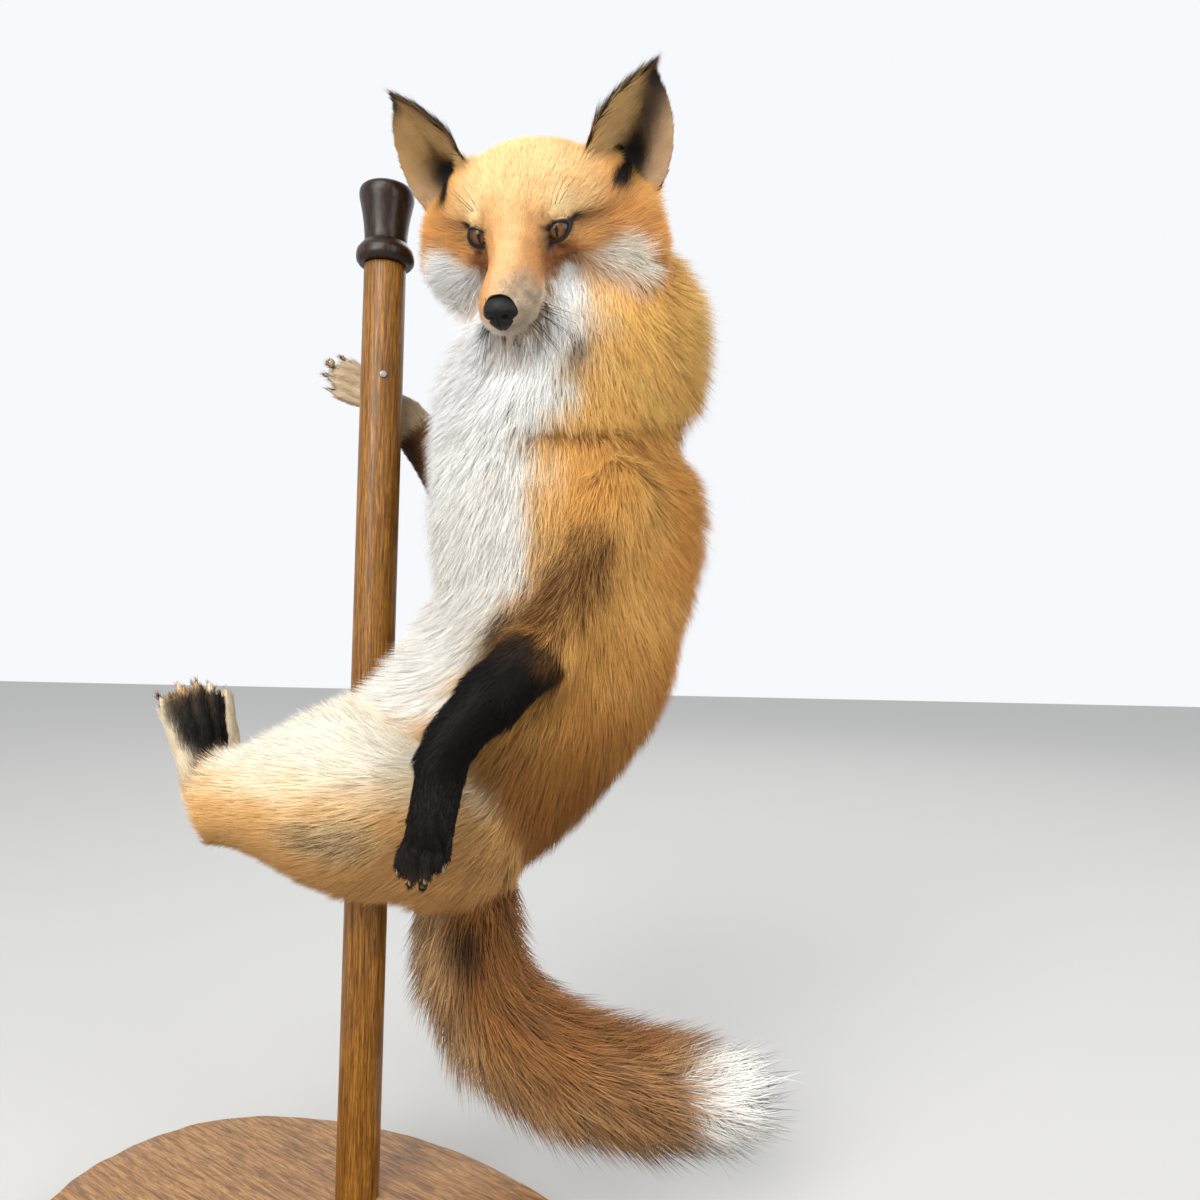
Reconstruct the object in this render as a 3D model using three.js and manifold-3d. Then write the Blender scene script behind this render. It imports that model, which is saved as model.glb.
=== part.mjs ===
// A taxidermy red fox that holds a turned wooden pole, on its own wooden base.
// Millimetres, +Z up. The origin is on the base's underside, on the pole's axis.
// The fox's flesh solids reach out to the tips of its winter coat.
import * as THREE from 'three';
import { mergeVertices } from 'three/addons/utils/BufferGeometryUtils.js';
import Module from 'manifold-3d';

const wasm = await Module();
wasm.setup();

// Driving dimensions
const GAP = 0.3;                    // clear space between pieces that touch
const CLEAR = 1.3;                  // a gap with room for facets that differ across it
const BASE_THICKNESS = 38;
const BASE_LENGTH = 520;
const BASE_WIDTH = 324;
const BASE_CENTRE = [8, -90];
const BASE_TURN = -0.59;
const POLE_RADIUS = 16;
const POLE_TOP = 739;
const COLLAR_HEIGHT = 17;
const COLLAR_RADIUS = 22;
const CAP_HEIGHT = 44;
const CAP_FOOT_RADIUS = 16;
const CAP_RADIUS = 21;
const EYE_SPACING = 56;
const EYE_RADIUS = 9.5;
const EAR_LENGTH = 92;
const EAR_THICKNESS = 3.2;

const at = (x, y, z) => new THREE.Vector3(x, y, z);
const UP = at(0, 0, 1);

// ---- Forms: each gives a point's distance from a surface, negative inside ----

// A capsule from a to b whose radius runs from ra to rb, flattened along side if flat is under 1.
function taper(a, b, ra, rb, flat = 1, side = UP) {
  const run = b.clone().sub(a);
  const length2 = run.lengthSq();
  const squeeze = 1 / flat - 1;
  const q = new THREE.Vector3();
  return (p) => {
    q.copy(p).sub(a);
    const h = THREE.MathUtils.clamp(q.dot(run) / length2, 0, 1);
    q.addScaledVector(run, -h);
    q.addScaledVector(side, q.dot(side) * squeeze);
    return q.length() - THREE.MathUtils.lerp(ra, rb, h);
  };
}

// An ellipsoid with radii along the three axes of a frame.
function egg(centre, radii, axes) {
  const q = new THREE.Vector3();
  return (p) => {
    q.copy(p).sub(centre);
    let scaled = 0;
    let slope = 0;
    for (let i = 0; i < 3; i += 1) {
      const along = q.dot(axes[i]) / radii[i];
      scaled += along * along;
      slope += (along / radii[i]) ** 2;
    }
    const k = Math.sqrt(scaled);
    return slope > 0 ? (k * (k - 1)) / Math.sqrt(slope) : -Math.min(...radii);
  };
}

// Forms run together with a fillet of about the given size.
function blend(fillet, ...forms) {
  return (p) => {
    let d = forms[0](p);
    for (let i = 1; i < forms.length; i += 1) {
      const e = forms[i](p);
      const h = Math.max(fillet - Math.abs(d - e), 0) / fillet;
      d = Math.min(d, e) - (h * h * fillet) / 4;
    }
    return d;
  };
}

// ---- Lofts: rings of rays from a spine out to a form's surface ----

const RAY_STEP = 4;
const RAY_HALVINGS = 18;

function reach(form, from, direction, grow) {
  const p = new THREE.Vector3();
  const depth = (s) => form(p.copy(from).addScaledVector(direction, s)) - grow;
  let far = RAY_STEP;
  while (depth(far) < 0) far += RAY_STEP;
  let near = far - RAY_STEP;
  for (let i = 0; i < RAY_HALVINGS; i += 1) {
    const middle = (near + far) / 2;
    if (depth(middle) < 0) near = middle;
    else far = middle;
  }
  return from.clone().addScaledVector(direction, near);
}

// The stretch of a form along its spine from u0 to u1. A cut end is flat and stands half a gap
// back from the cut; at a round end the rays fan out from the spine's last point, like a dome.
function stretch(form, spine, options) {
  const { sides, rings, u0 = 0, u1 = 1, round = [false, false], dome = 3, grow = 0, facing = UP } = options;
  const loops = [];

  function ringOfRays(u, lift, shift) {
    const along = spine.getTangentAt(u);
    const centre = spine.getPointAt(u).addScaledVector(along, shift);
    const across = new THREE.Vector3().crossVectors(facing, along).normalize();
    const front = new THREE.Vector3().crossVectors(along, across);
    const loop = [];
    for (let j = 0; j < sides; j += 1) {
      const angle = (j / sides) * 2 * Math.PI;
      const ray = front.clone().multiplyScalar(Math.cos(angle) * Math.cos(lift))
        .addScaledVector(across, Math.sin(angle) * Math.cos(lift))
        .addScaledVector(along, Math.sin(lift));
      loop.push(reach(form, centre, ray, grow));
    }
    return { loop, centre, along };
  }

  function domeOver(u, sign) {
    const loopsOfDome = [];
    for (let i = 1; i < dome; i += 1) {
      loopsOfDome.push(ringOfRays(u, (sign * i * Math.PI) / (2 * dome), 0).loop);
    }
    const outward = spine.getTangentAt(u).multiplyScalar(sign);
    loopsOfDome.push([reach(form, spine.getPointAt(u), outward, grow)]);
    return loopsOfDome;
  }

  if (round[0]) loops.push(...domeOver(u0, -1).reverse());
  for (let i = 0; i <= rings; i += 1) {
    const u = THREE.MathUtils.lerp(u0, u1, i / rings);
    let shift = 0;
    if (i === 0 && !round[0]) shift = GAP / 2;
    if (i === rings && !round[1]) shift = -GAP / 2;
    const { loop, centre } = ringOfRays(u, 0, shift);
    if (i === 0 && !round[0]) loops.push([centre]);
    loops.push(loop);
    if (i === rings && !round[1]) loops.push([centre]);
  }
  if (round[1]) loops.push(...domeOver(u1, 1));
  return closedLoft(loops);
}

// Joins loops of points into one closed skin; a loop of one point is an end.
function closedLoft(loops) {
  const points = loops.flat();
  const start = [];
  let count = 0;
  for (const loop of loops) {
    start.push(count);
    count += loop.length;
  }
  const index = [];
  for (let i = 0; i + 1 < loops.length; i += 1) {
    const sides = Math.max(loops[i].length, loops[i + 1].length);
    for (let j = 0; j < sides; j += 1) {
      const k = (j + 1) % sides;
      const a = start[i] + (loops[i].length > 1 ? j : 0);
      const b = start[i] + (loops[i].length > 1 ? k : 0);
      const c = start[i + 1] + (loops[i + 1].length > 1 ? j : 0);
      const d = start[i + 1] + (loops[i + 1].length > 1 ? k : 0);
      if (a !== b) index.push(a, b, d);
      if (c !== d) index.push(a, d, c);
    }
  }
  const geometry = new THREE.BufferGeometry().setFromPoints(points);
  geometry.setIndex(index);
  return facingOut(geometry);
}

function facingOut(geometry) {
  const position = geometry.attributes.position;
  const index = geometry.index.array;
  const [a, b, c] = [at(0, 0, 0), at(0, 0, 0), at(0, 0, 0)];
  let volume = 0;
  for (let i = 0; i < index.length; i += 3) {
    a.fromBufferAttribute(position, index[i]);
    b.fromBufferAttribute(position, index[i + 1]);
    c.fromBufferAttribute(position, index[i + 2]);
    volume += a.dot(b.cross(c));
  }
  if (volume < 0) {
    for (let i = 0; i < index.length; i += 3) [index[i], index[i + 1]] = [index[i + 1], index[i]];
  }
  return geometry;
}

// ---- Joins and cuts ----

function solid(geometry) {
  const bare = geometry.clone();
  bare.deleteAttribute('normal');
  bare.deleteAttribute('uv');
  const merged = mergeVertices(bare, 1e-3);
  return new wasm.Manifold(new wasm.Mesh({
    numProp: 3,
    vertProperties: new Float32Array(merged.attributes.position.array),
    triVerts: new Uint32Array(merged.index.array),
  }));
}

function surface(body) {
  const mesh = body.getMesh();
  const geometry = new THREE.BufferGeometry();
  geometry.setAttribute('position', new THREE.BufferAttribute(new Float32Array(mesh.vertProperties), 3));
  geometry.setIndex(new THREE.BufferAttribute(new Uint32Array(mesh.triVerts), 1));
  return geometry;
}

const joined = (...geometries) => surface(geometries.map(solid).reduce((a, b) => a.add(b)));
const cut = (geometry, ...tools) => surface(
  tools.map(solid).reduce((a, b) => a.subtract(b), solid(geometry)),
);

// ---- The scene ----

const fox = new THREE.Group();

function piece(name, geometry, color, roughness = 0.9, metalness = 0) {
  const shown = geometry.index ? geometry.toNonIndexed() : geometry;
  shown.computeVertexNormals();
  const mesh = new THREE.Mesh(shown, new THREE.MeshStandardMaterial({ color, roughness, metalness }));
  mesh.name = name;
  fox.add(mesh);
  return mesh;
}

const ORANGE = 0xc98a43;
const PALE_GOLD = 0xe0b070;
const WHITE = 0xe9e6df;
const BLACK = 0x201c1b;
const CREAM = 0xd8c3a0;
const WOOD = 0x7d5630;
const DARK_WOOD = 0x35231a;

// The pole's own space, kept clear of the fox.
const poleTool = new THREE.CylinderGeometry(POLE_RADIUS + GAP, POLE_RADIUS + GAP, POLE_TOP, 32)
  .rotateX(Math.PI / 2).translate(0, 0, POLE_TOP / 2);

// ---- Trunk and neck: one form along one spine, parted by thin cuts ----

const CHEST_TURN = THREE.MathUtils.degToRad(30);
const facing = at(-Math.cos(CHEST_TURN), -Math.sin(CHEST_TURN), 0);

function trunkAxes(lean) {
  const along = at(Math.sin(lean), 0, Math.cos(lean));
  const left = new THREE.Vector3().crossVectors(along, facing).normalize();
  return [new THREE.Vector3().crossVectors(left, along), left, along];
}

const trunkSpine = new THREE.CatmullRomCurve3([
  at(160, 26, 728),
  at(158, 22, 694),
  at(154, 14, 654),
  at(148, 4, 600),
  at(147, -5, 545),
  at(147, -10, 485),
  at(137, -10, 432),
  at(108, -8, 385),
  at(84, -6, 352),
]);

const ruff = blend(
  40,
  egg(at(170, 28, 716), [68, 64, 62], trunkAxes(-0.1)),
  egg(at(156, 22, 690), [84, 72, 58], trunkAxes(-0.1)),
  egg(at(154, 13, 652), [96, 80, 56], trunkAxes(-0.1)),
  taper(at(112, -8, 688), at(114, -6, 640), 46, 50),
  taper(at(150, 12, 764), at(170, 28, 716), 42, 60),
);
const barrel = blend(
  40,
  egg(at(147, -3, 548), [110, 82, 96], trunkAxes(0)),
  egg(at(112, -8, 612), [60, 62, 66], trunkAxes(0)),
  egg(at(147, -9, 478), [88, 74, 96], trunkAxes(0)),
  egg(at(140, -10, 428), [80, 74, 78], trunkAxes(0.25)),
  egg(at(98, -4, 364), [74, 78, 92], trunkAxes(0.75)),
  taper(at(80, -24, 424), at(28, -44, 378), 41, 40),
  taper(at(74, 18, 424), at(24, 34, 380), 40, 38),
);
const trunk = blend(42, ruff, barrel);

const TRUNK_SIDES = 20;
const NECK_CUT = 0.31;
const CHEST_CUT = 0.6;
const LOIN_CUT = 0.81;

const trunkStretch = (options) => stretch(trunk, trunkSpine, {
  sides: TRUNK_SIDES, facing, ...options,
});
piece('chest', trunkStretch({ u0: NECK_CUT, u1: CHEST_CUT, rings: 5 }), ORANGE);
piece('belly', cut(trunkStretch({ u0: CHEST_CUT, u1: LOIN_CUT, rings: 4 }), poleTool), ORANGE);
const rump = trunkStretch({ u0: LOIN_CUT, rings: 3, round: [false, true], dome: 4 });
piece('rump', cut(rump, poleTool), ORANGE);

// ---- Head: the skull's frame looks down and a little to the fox's right ----

const HEAD_YAW = THREE.MathUtils.degToRad(-13);
const HEAD_PITCH = THREE.MathUtils.degToRad(43);
const headOrigin = at(110, -66, 738);       // midway between the eyes
const headForward = at(
  Math.sin(HEAD_YAW) * Math.cos(HEAD_PITCH),
  -Math.cos(HEAD_YAW) * Math.cos(HEAD_PITCH),
  -Math.sin(HEAD_PITCH),
);
const headLeft = new THREE.Vector3().crossVectors(UP, headForward).normalize();
const headUp = new THREE.Vector3().crossVectors(headForward, headLeft);
const headAxes = [headLeft, headForward, headUp];

// A point of the head: millimetres to the fox's left, forward and up from between the eyes.
const onHead = (left, forward, up) => headOrigin.clone()
  .addScaledVector(headLeft, left)
  .addScaledVector(headForward, forward)
  .addScaledVector(headUp, up);

const pair = (make) => [make(1), make(-1)];

const face = blend(
  20,
  egg(onHead(0, -52, 4), [62, 56, 44], headAxes),
  egg(onHead(0, -14, 8), [35, 33, 24], headAxes),
  ...pair((side) => egg(onHead(side * 52, -56, -18), [43, 42, 42], headAxes)),
  ...pair((side) => egg(onHead(side * 62, -44, -42), [34, 34, 30], headAxes)),
  taper(onHead(0, -4, -8), onHead(0, 60, -25), 25, 16, 0.95, headLeft),
  ...pair((side) => egg(onHead(side * 11, 48, -31), [13, 22, 12], headAxes)),
);
const headSpine = new THREE.CatmullRomCurve3([
  onHead(0, -56, -20),
  onHead(0, -20, -19),
  onHead(0, 20, -20),
  onHead(0, 60, -27),
]);
const MUZZLE_CUT = 0.65;
const skullShape = (grow) => stretch(face, headSpine, {
  sides: 18, rings: 6, u1: MUZZLE_CUT, round: [true, false], dome: 4, grow, facing: headUp,
});
const muzzleShape = (grow, u0 = MUZZLE_CUT) => stretch(face, headSpine, {
  sides: 16, rings: 4, u0, round: [false, true], grow, facing: headUp,
});
const headTool = joined(skullShape(CLEAR), muzzleShape(CLEAR, MUZZLE_CUT - 0.05));

const noseForm = egg(onHead(0, 72, -24), [12.5, 9, 10], headAxes);
const noseSpine = new THREE.LineCurve3(onHead(-4, 72, -24), onHead(4, 72, -24));
const noseShape = (grow) => stretch(noseForm, noseSpine, {
  sides: 12, rings: 2, round: [true, true], grow, facing: headUp,
});
const nostrils = pair((side) => new THREE.SphereGeometry(2.6, 6, 4).translate(
  ...onHead(side * 5.6, 80.5, -25).toArray(),
));

const EYE_SET_BACK = 0.5;
const eyeCentre = (side) => onHead((side * EYE_SPACING) / 2, EYE_SET_BACK, 0);
const eyeball = (side, radius) => new THREE.SphereGeometry(radius, 10, 8)
  .translate(...eyeCentre(side).toArray());
const sockets = pair((side) => eyeball(side, EYE_RADIUS + GAP));

// The slit between the lids: an egg whose long axis runs out and up from the muzzle.
const LID_RADII = [16, 11, 8.8];
function lidOpening(side) {
  const middle = onHead(side * 30.5, 9, 0.5);
  const long = headLeft.clone().multiplyScalar(side * 0.8)
    .addScaledVector(headForward, -0.55)
    .addScaledVector(headUp, 0.2)
    .normalize();
  const out = headForward.clone().addScaledVector(headLeft, side * 0.6);
  out.addScaledVector(long, -out.dot(long)).normalize();
  const form = egg(middle, LID_RADII, [long, out, new THREE.Vector3().crossVectors(long, out)]);
  const half = long.clone().multiplyScalar(6);
  const line = new THREE.LineCurve3(middle.clone().sub(half), middle.clone().add(half));
  return stretch(form, line, { sides: 8, rings: 2, round: [true, true], dome: 2, facing: out });
}

piece('head', cut(skullShape(0), ...sockets, ...pair(lidOpening)), PALE_GOLD);
piece('muzzle', cut(muzzleShape(0), noseShape(GAP)), PALE_GOLD);
piece('nose', cut(noseShape(0), ...nostrils), BLACK, 0.35);

const jawForm = taper(onHead(0, -26, -46), onHead(0, 57, -42), 25, 9);
const jawSpine = new THREE.LineCurve3(onHead(0, -26, -46), onHead(0, 57, -42));
const jawShape = (grow) => stretch(jawForm, jawSpine, {
  sides: 12, rings: 3, round: [true, true], grow, facing: headUp,
});
piece('lower_jaw', cut(jawShape(0), headTool), WHITE);

// Ears: thin cups, open to the front, that narrow to a point.
const EAR_ROWS = 8;
const EAR_COLUMNS = 6;
const EAR_HALF_WIDTH = 31;
const EAR_CUP = 26;

function ear(side) {
  const base = onHead(side * 54, -58, -2);
  const tip = onHead(side * 95, -62, 82);
  const along = tip.clone().sub(base).normalize();
  const open = headForward.clone().multiplyScalar(0.93).addScaledVector(headLeft, side * 0.36);
  open.addScaledVector(along, -open.dot(along)).normalize();
  const across = new THREE.Vector3().crossVectors(along, open);
  const inner = [];
  const outer = [];
  for (let i = 0; i <= EAR_ROWS; i += 1) {
    const v = i / EAR_ROWS;
    const width = EAR_HALF_WIDTH * (0.8 + 0.9 * v) * (1 - v ** 2.2) + 1.2;
    const cup = EAR_CUP * (1 - v) + 2;
    const middle = base.clone().addScaledVector(along, v * EAR_LENGTH);
    for (let j = 0; j <= EAR_COLUMNS; j += 1) {
      const s = (2 * j) / EAR_COLUMNS - 1;
      const point = middle.clone()
        .addScaledVector(across, s * width)
        .addScaledVector(open, cup * (s * s - 0.5));
      inner.push(point);
      outer.push(point.clone().addScaledVector(open, -EAR_THICKNESS * (1 - 0.55 * v)));
    }
  }
  return thinShell(inner, outer, EAR_ROWS, EAR_COLUMNS);
}

// Two grids of points closed round their edges.
function thinShell(inner, outer, rows, columns) {
  const wide = columns + 1;
  const back = inner.length;
  const index = [];
  const quad = (a, b, c, d) => index.push(a, b, c, a, c, d);
  for (let i = 0; i < rows; i += 1) {
    for (let j = 0; j < columns; j += 1) {
      const k = i * wide + j;
      quad(k, k + 1, k + wide + 1, k + wide);
      quad(back + k, back + k + wide, back + k + wide + 1, back + k + 1);
    }
    const first = i * wide;
    const last = first + columns;
    quad(first, first + wide, back + first + wide, back + first);
    quad(last, back + last, back + last + wide, last + wide);
  }
  for (let j = 0; j < columns; j += 1) {
    const top = rows * wide + j;
    quad(j, back + j, back + j + 1, j + 1);
    quad(top, top + 1, back + top + 1, back + top);
  }
  const geometry = new THREE.BufferGeometry().setFromPoints([...inner, ...outer]);
  geometry.setIndex(index);
  return facingOut(geometry);
}

for (const [name, side] of [['left', 1], ['right', -1]]) {
  piece(`eye_${name}`, eyeball(side, EYE_RADIUS), 0x6b4a22, 0.1);
  piece(`ear_${name}`, cut(ear(side), headTool), ORANGE);
}

const neck = trunkStretch({ u1: NECK_CUT, rings: 6, round: [true, false] });
piece('neck', cut(neck, headTool, jawShape(GAP)), ORANGE);

// ---- Limbs ----

const trunkTool = trunkStretch({ rings: 18, round: [true, true], dome: 4, grow: CLEAR });

// Toes and claws at the end of a foot. Each toe runs from its knuckle and ends in a claw; the
// two outer toes are shorter.
const TOES = 4;
const OUTER_TOE_SHORTER = 0.28;
const KNUCKLES_NARROWER = 0.72;
const CLAW_ROOT_RADIUS = 2.1;
const CLAW_TIP_RADIUS = 0.5;

function toes({ knuckle, tip, across, under, spread, radius, clawLength }) {
  const parts = [];
  const drawn = (a, b, ra, rb, options) => parts.push(
    stretch(taper(a, b, ra, rb), new THREE.LineCurve3(a, b), { rings: 1, round: [true, true], ...options }),
  );
  for (let i = 0; i < TOES; i += 1) {
    const place = (i - (TOES - 1) / 2) * spread;
    const shorter = i === 0 || i === TOES - 1 ? OUTER_TOE_SHORTER : 0;
    const root = knuckle.clone().addScaledVector(across, place * KNUCKLES_NARROWER);
    const end = tip.clone().lerp(knuckle, shorter).addScaledVector(across, place);
    drawn(root, end, radius * 1.12, radius, { sides: 5, dome: 2 });
    const onward = end.clone().sub(root).normalize();
    const nail = end.clone().addScaledVector(onward, radius * 0.5).addScaledVector(under, radius * 0.1);
    const point = nail.clone().addScaledVector(onward, clawLength).addScaledVector(under, clawLength * 0.55);
    drawn(nail, point, CLAW_ROOT_RADIUS, CLAW_TIP_RADIUS, { sides: 3, dome: 1 });
  }
  return parts;
}

// A limb is one form along one bent spine, parted by thin cuts at its joints.
function limb(points, radii, { flat = 1, side = UP, fillet = 12 }) {
  const tapers = [];
  for (let i = 0; i + 1 < points.length; i += 1) {
    tapers.push(taper(points[i], points[i + 1], radii[i], radii[i + 1], flat, side));
  }
  return { form: blend(fillet, ...tapers), spine: new THREE.CatmullRomCurve3(points, false, 'centripetal') };
}

// Left foreleg hangs across the thigh with the toes down.
const toFront = at(0, -1, 0);
const foreLeft = limb(
  [at(172, -50, 560), at(149, -90, 466), at(104, -118, 418), at(78, -126, 388), at(70, -126, 340)],
  [42, 25, 19.5, 15.5, 15.5],
  { flat: 0.95, side: toFront },
);
const foreLeftStretch = (options) => stretch(foreLeft.form, foreLeft.spine, {
  sides: 12, facing: toFront, ...options,
});
const ELBOW_CUT = 0.47;
const WRIST_CUT = 0.85;
const leftUpper = foreLeftStretch({ u1: ELBOW_CUT, rings: 4, round: [true, false] });
const leftForearm = foreLeftStretch({ u0: ELBOW_CUT, u1: WRIST_CUT, rings: 6 });
const leftPalm = foreLeftStretch({ u0: WRIST_CUT, rings: 3, round: [false, true], dome: 2 });
const leftForepaw = joined(leftPalm, ...toes({
  knuckle: at(69, -124, 336),
  tip: at(63, -122, 309),
  across: at(1, 0, 0.12).normalize(),
  under: at(0, 1, 0),
  spread: 8.6,
  radius: 6.2,
  clawLength: 7,
}));
const foreLeftTool = foreLeftStretch({ rings: 12, round: [true, true], grow: CLEAR });

piece('foreleg_left_upper', cut(leftUpper, trunkTool), ORANGE);
piece('foreleg_left_forearm', cut(leftForearm, trunkTool), BLACK);
piece('forepaw_left', leftForepaw, BLACK);

// Right foreleg reaches round behind the pole. The elbow is bent sharply, so the upper arm is apart.
const rightElbow = at(84, 60, 542);
const upperRight = taper(at(112, 46, 590), rightElbow, 38, 25);
const upperRightLine = new THREE.LineCurve3(at(112, 46, 590), rightElbow);
const rightUpper = (grow) => stretch(upperRight, upperRightLine, {
  sides: 14, rings: 3, round: [true, true], grow, facing: toFront,
});
const foreRight = limb(
  [at(80, 58, 548), at(44, 50, 586), at(14, 40, 626), at(-14, 35, 648)],
  [23, 20, 15.5, 14],
  { flat: 0.9, side: toFront },
);
const foreRightStretch = (options) => stretch(foreRight.form, foreRight.spine, {
  sides: 12, facing: toFront, ...options,
});
const RIGHT_WRIST_CUT = 0.68;
const rightForearm = foreRightStretch({ u1: RIGHT_WRIST_CUT, rings: 4, round: [true, false] });
const rightPalm = foreRightStretch({ u0: RIGHT_WRIST_CUT, rings: 3, round: [false, true], dome: 2 });
const rightForepaw = joined(rightPalm, ...toes({
  knuckle: at(-20, 31, 650),
  tip: at(-40, 24, 660),
  across: at(-0.34, 0, -0.94).normalize(),
  under: at(0, -1, 0),
  spread: 8.4,
  radius: 6,
  clawLength: 7,
}));
piece('foreleg_right_upper', cut(rightUpper(0), trunkTool), ORANGE);
piece('foreleg_right_forearm', cut(rightForearm, trunkTool, poleTool, rightUpper(CLEAR)), ORANGE);
piece('forepaw_right', cut(rightForepaw, poleTool), CREAM);

// Left hind leg passes in front of the pole, with the foot turned up.
const hindLeft = limb(
  [at(62, -38, 336), at(8, -62, 343), at(-73, -56, 339)],
  [76, 61, 35],
  { flat: 0.74, side: toFront, fillet: 30 },
);
const hindLeftStretch = (options) => stretch(hindLeft.form, hindLeft.spine, {
  sides: 16, facing: toFront, ...options,
});
const KNEE_CUT = 0.42;
const leftThigh = hindLeftStretch({ u1: KNEE_CUT, rings: 3, round: [true, false], dome: 4 });
const leftShank = hindLeftStretch({ u0: KNEE_CUT, rings: 5, round: [false, true] });
const hindLeftTool = hindLeftStretch({ rings: 8, round: [true, true], dome: 4, grow: CLEAR });

// A hind foot from the heel up to the toes.
function hindFoot({ heel, ball, tip, across, under, flat }) {
  const sole = limb([heel, heel.clone().lerp(ball, 0.5), ball], [17, 17, 21], { flat, side: under });
  const metatarsus = stretch(sole.form, sole.spine, {
    sides: 10, rings: 4, round: [true, true], dome: 2, facing: under,
  });
  return joined(metatarsus, ...toes({
    knuckle: ball, tip, across, under, spread: 10.6, radius: 7.4, clawLength: 8,
  }));
}

const leftFootAcross = at(0.86, 0.48, 0.16).normalize();
const leftFootUnder = at(-0.5, 0.86, -0.1).normalize();
const leftFoot = hindFoot({
  heel: at(-90, -52, 322),
  ball: at(-108, -54, 385),
  tip: at(-112, -58, 410),
  across: leftFootAcross,
  under: leftFootUnder,
  flat: 0.66,
});
piece('thigh_left', cut(leftThigh, trunkTool, poleTool, foreLeftTool), ORANGE);
piece('shank_left', cut(leftShank, trunkTool, poleTool), ORANGE);
piece('hindfoot_left', cut(leftFoot, hindLeftTool), BLACK);

// Right hind leg passes behind the pole.
const hindRight = limb(
  [at(50, 38, 336), at(-14, 64, 342), at(-104, 62, 328)],
  [75, 58, 34],
  { flat: 0.74, side: toFront, fillet: 30 },
);
const hindRightStretch = (options) => stretch(hindRight.form, hindRight.spine, {
  sides: 16, facing: toFront, ...options,
});
const rightThigh = hindRightStretch({ u1: KNEE_CUT, rings: 3, round: [true, false], dome: 4 });
const rightShank = hindRightStretch({ u0: KNEE_CUT, rings: 5, round: [false, true] });
const hindRightTool = hindRightStretch({ rings: 8, round: [true, true], dome: 4, grow: CLEAR });
const rightFoot = hindFoot({
  heel: at(-124, 62, 312),
  ball: at(-146, 60, 376),
  tip: at(-152, 56, 402),
  across: at(0.9, 0.42, 0.2).normalize(),
  under: at(-0.44, 0.88, -0.1).normalize(),
  flat: 0.66,
});
piece('thigh_right', cut(rightThigh, trunkTool, poleTool, hindLeftTool), ORANGE);
piece('shank_right', cut(rightShank, trunkTool, poleTool), ORANGE);
piece('hindfoot_right', cut(rightFoot, hindRightTool), BLACK);

// ---- Tail ----

const tailPoints = [
  at(80, 8, 300), at(72, 30, 244), at(74, 42, 192), at(98, 46, 146),
  at(150, 44, 114), at(214, 36, 102), at(276, 22, 106), at(330, 3, 121),
];
const tail = limb(tailPoints, [34, 48, 54, 54, 52, 49, 38, 9], { fillet: 20 });
const tailStretch = (options) => stretch(tail.form, tail.spine, {
  sides: 14, facing: at(0, 1, 0), ...options,
});
const tailBase = tailStretch({ u1: 0.36, rings: 5, round: [true, false], dome: 2 });
piece('tail_base', cut(tailBase, trunkTool, hindLeftTool, hindRightTool), ORANGE);
piece('tail_middle', tailStretch({ u0: 0.36, u1: 0.72, rings: 5 }), ORANGE);
piece('tail_tip', tailStretch({ u0: 0.72, rings: 5, round: [false, true], dome: 2 }), WHITE);

// ---- Pole, collar, cap and base ----

const upright = (geometry) => geometry.rotateX(Math.PI / 2);
const poleHeight = POLE_TOP - BASE_THICKNESS - 2 * GAP;
piece('pole', upright(new THREE.CylinderGeometry(POLE_RADIUS, POLE_RADIUS, poleHeight, 24))
  .translate(0, 0, BASE_THICKNESS + GAP + poleHeight / 2), WOOD, 0.45);

// Turned pieces: radius and height pairs, from the axis out and back to it.
const turned = (profile, z) => upright(new THREE.LatheGeometry(
  profile.map(([r, h]) => new THREE.Vector2(r, h)), 20,
)).translate(0, 0, z);
piece('collar', turned([
  [0, 0], [COLLAR_RADIUS - 3, 0], [COLLAR_RADIUS, 5],
  [COLLAR_RADIUS - 0.6, 11], [CAP_FOOT_RADIUS + 1, COLLAR_HEIGHT], [0, COLLAR_HEIGHT],
], POLE_TOP), DARK_WOOD, 0.35);
piece('cap', turned([
  [0, 0], [CAP_FOOT_RADIUS, 0], [CAP_FOOT_RADIUS + 0.4, 8], [CAP_FOOT_RADIUS + 2.2, 22],
  [CAP_RADIUS, 36], [CAP_RADIUS - 1, 41], [CAP_RADIUS - 5, CAP_HEIGHT], [0, CAP_HEIGHT],
], POLE_TOP + COLLAR_HEIGHT + GAP), DARK_WOOD, 0.3);

const BASE_BEVEL = 5;
const outline = [];
const OUTLINE_STEPS = 40;
for (let i = 0; i < OUTLINE_STEPS; i += 1) {
  const angle = (i / OUTLINE_STEPS) * 2 * Math.PI;
  const wander = 1 + 0.012 * Math.sin(3 * angle + 0.6) + 0.006 * Math.sin(7 * angle + 2);
  const x = (BASE_LENGTH / 2 - BASE_BEVEL) * wander * Math.cos(angle);
  const y = (BASE_WIDTH / 2 - BASE_BEVEL) * wander * Math.sin(angle);
  outline.push(new THREE.Vector2(x, y).rotateAround(new THREE.Vector2(0, 0), BASE_TURN));
}
const slab = new THREE.ExtrudeGeometry(new THREE.Shape(outline), {
  depth: BASE_THICKNESS - 2 * BASE_BEVEL, bevelThickness: BASE_BEVEL, bevelSize: BASE_BEVEL, bevelSegments: 1,
}).translate(BASE_CENTRE[0], BASE_CENTRE[1], BASE_BEVEL);
piece('base', slab, WOOD, 0.6);

fox.name = 'taxidermy_fox';
export default fox;
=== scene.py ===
import math

import bpy
import numpy as np
from mathutils import Matrix, Vector, noise
from mathutils.bvhtree import BVHTree
from mathutils.kdtree import KDTree


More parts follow.
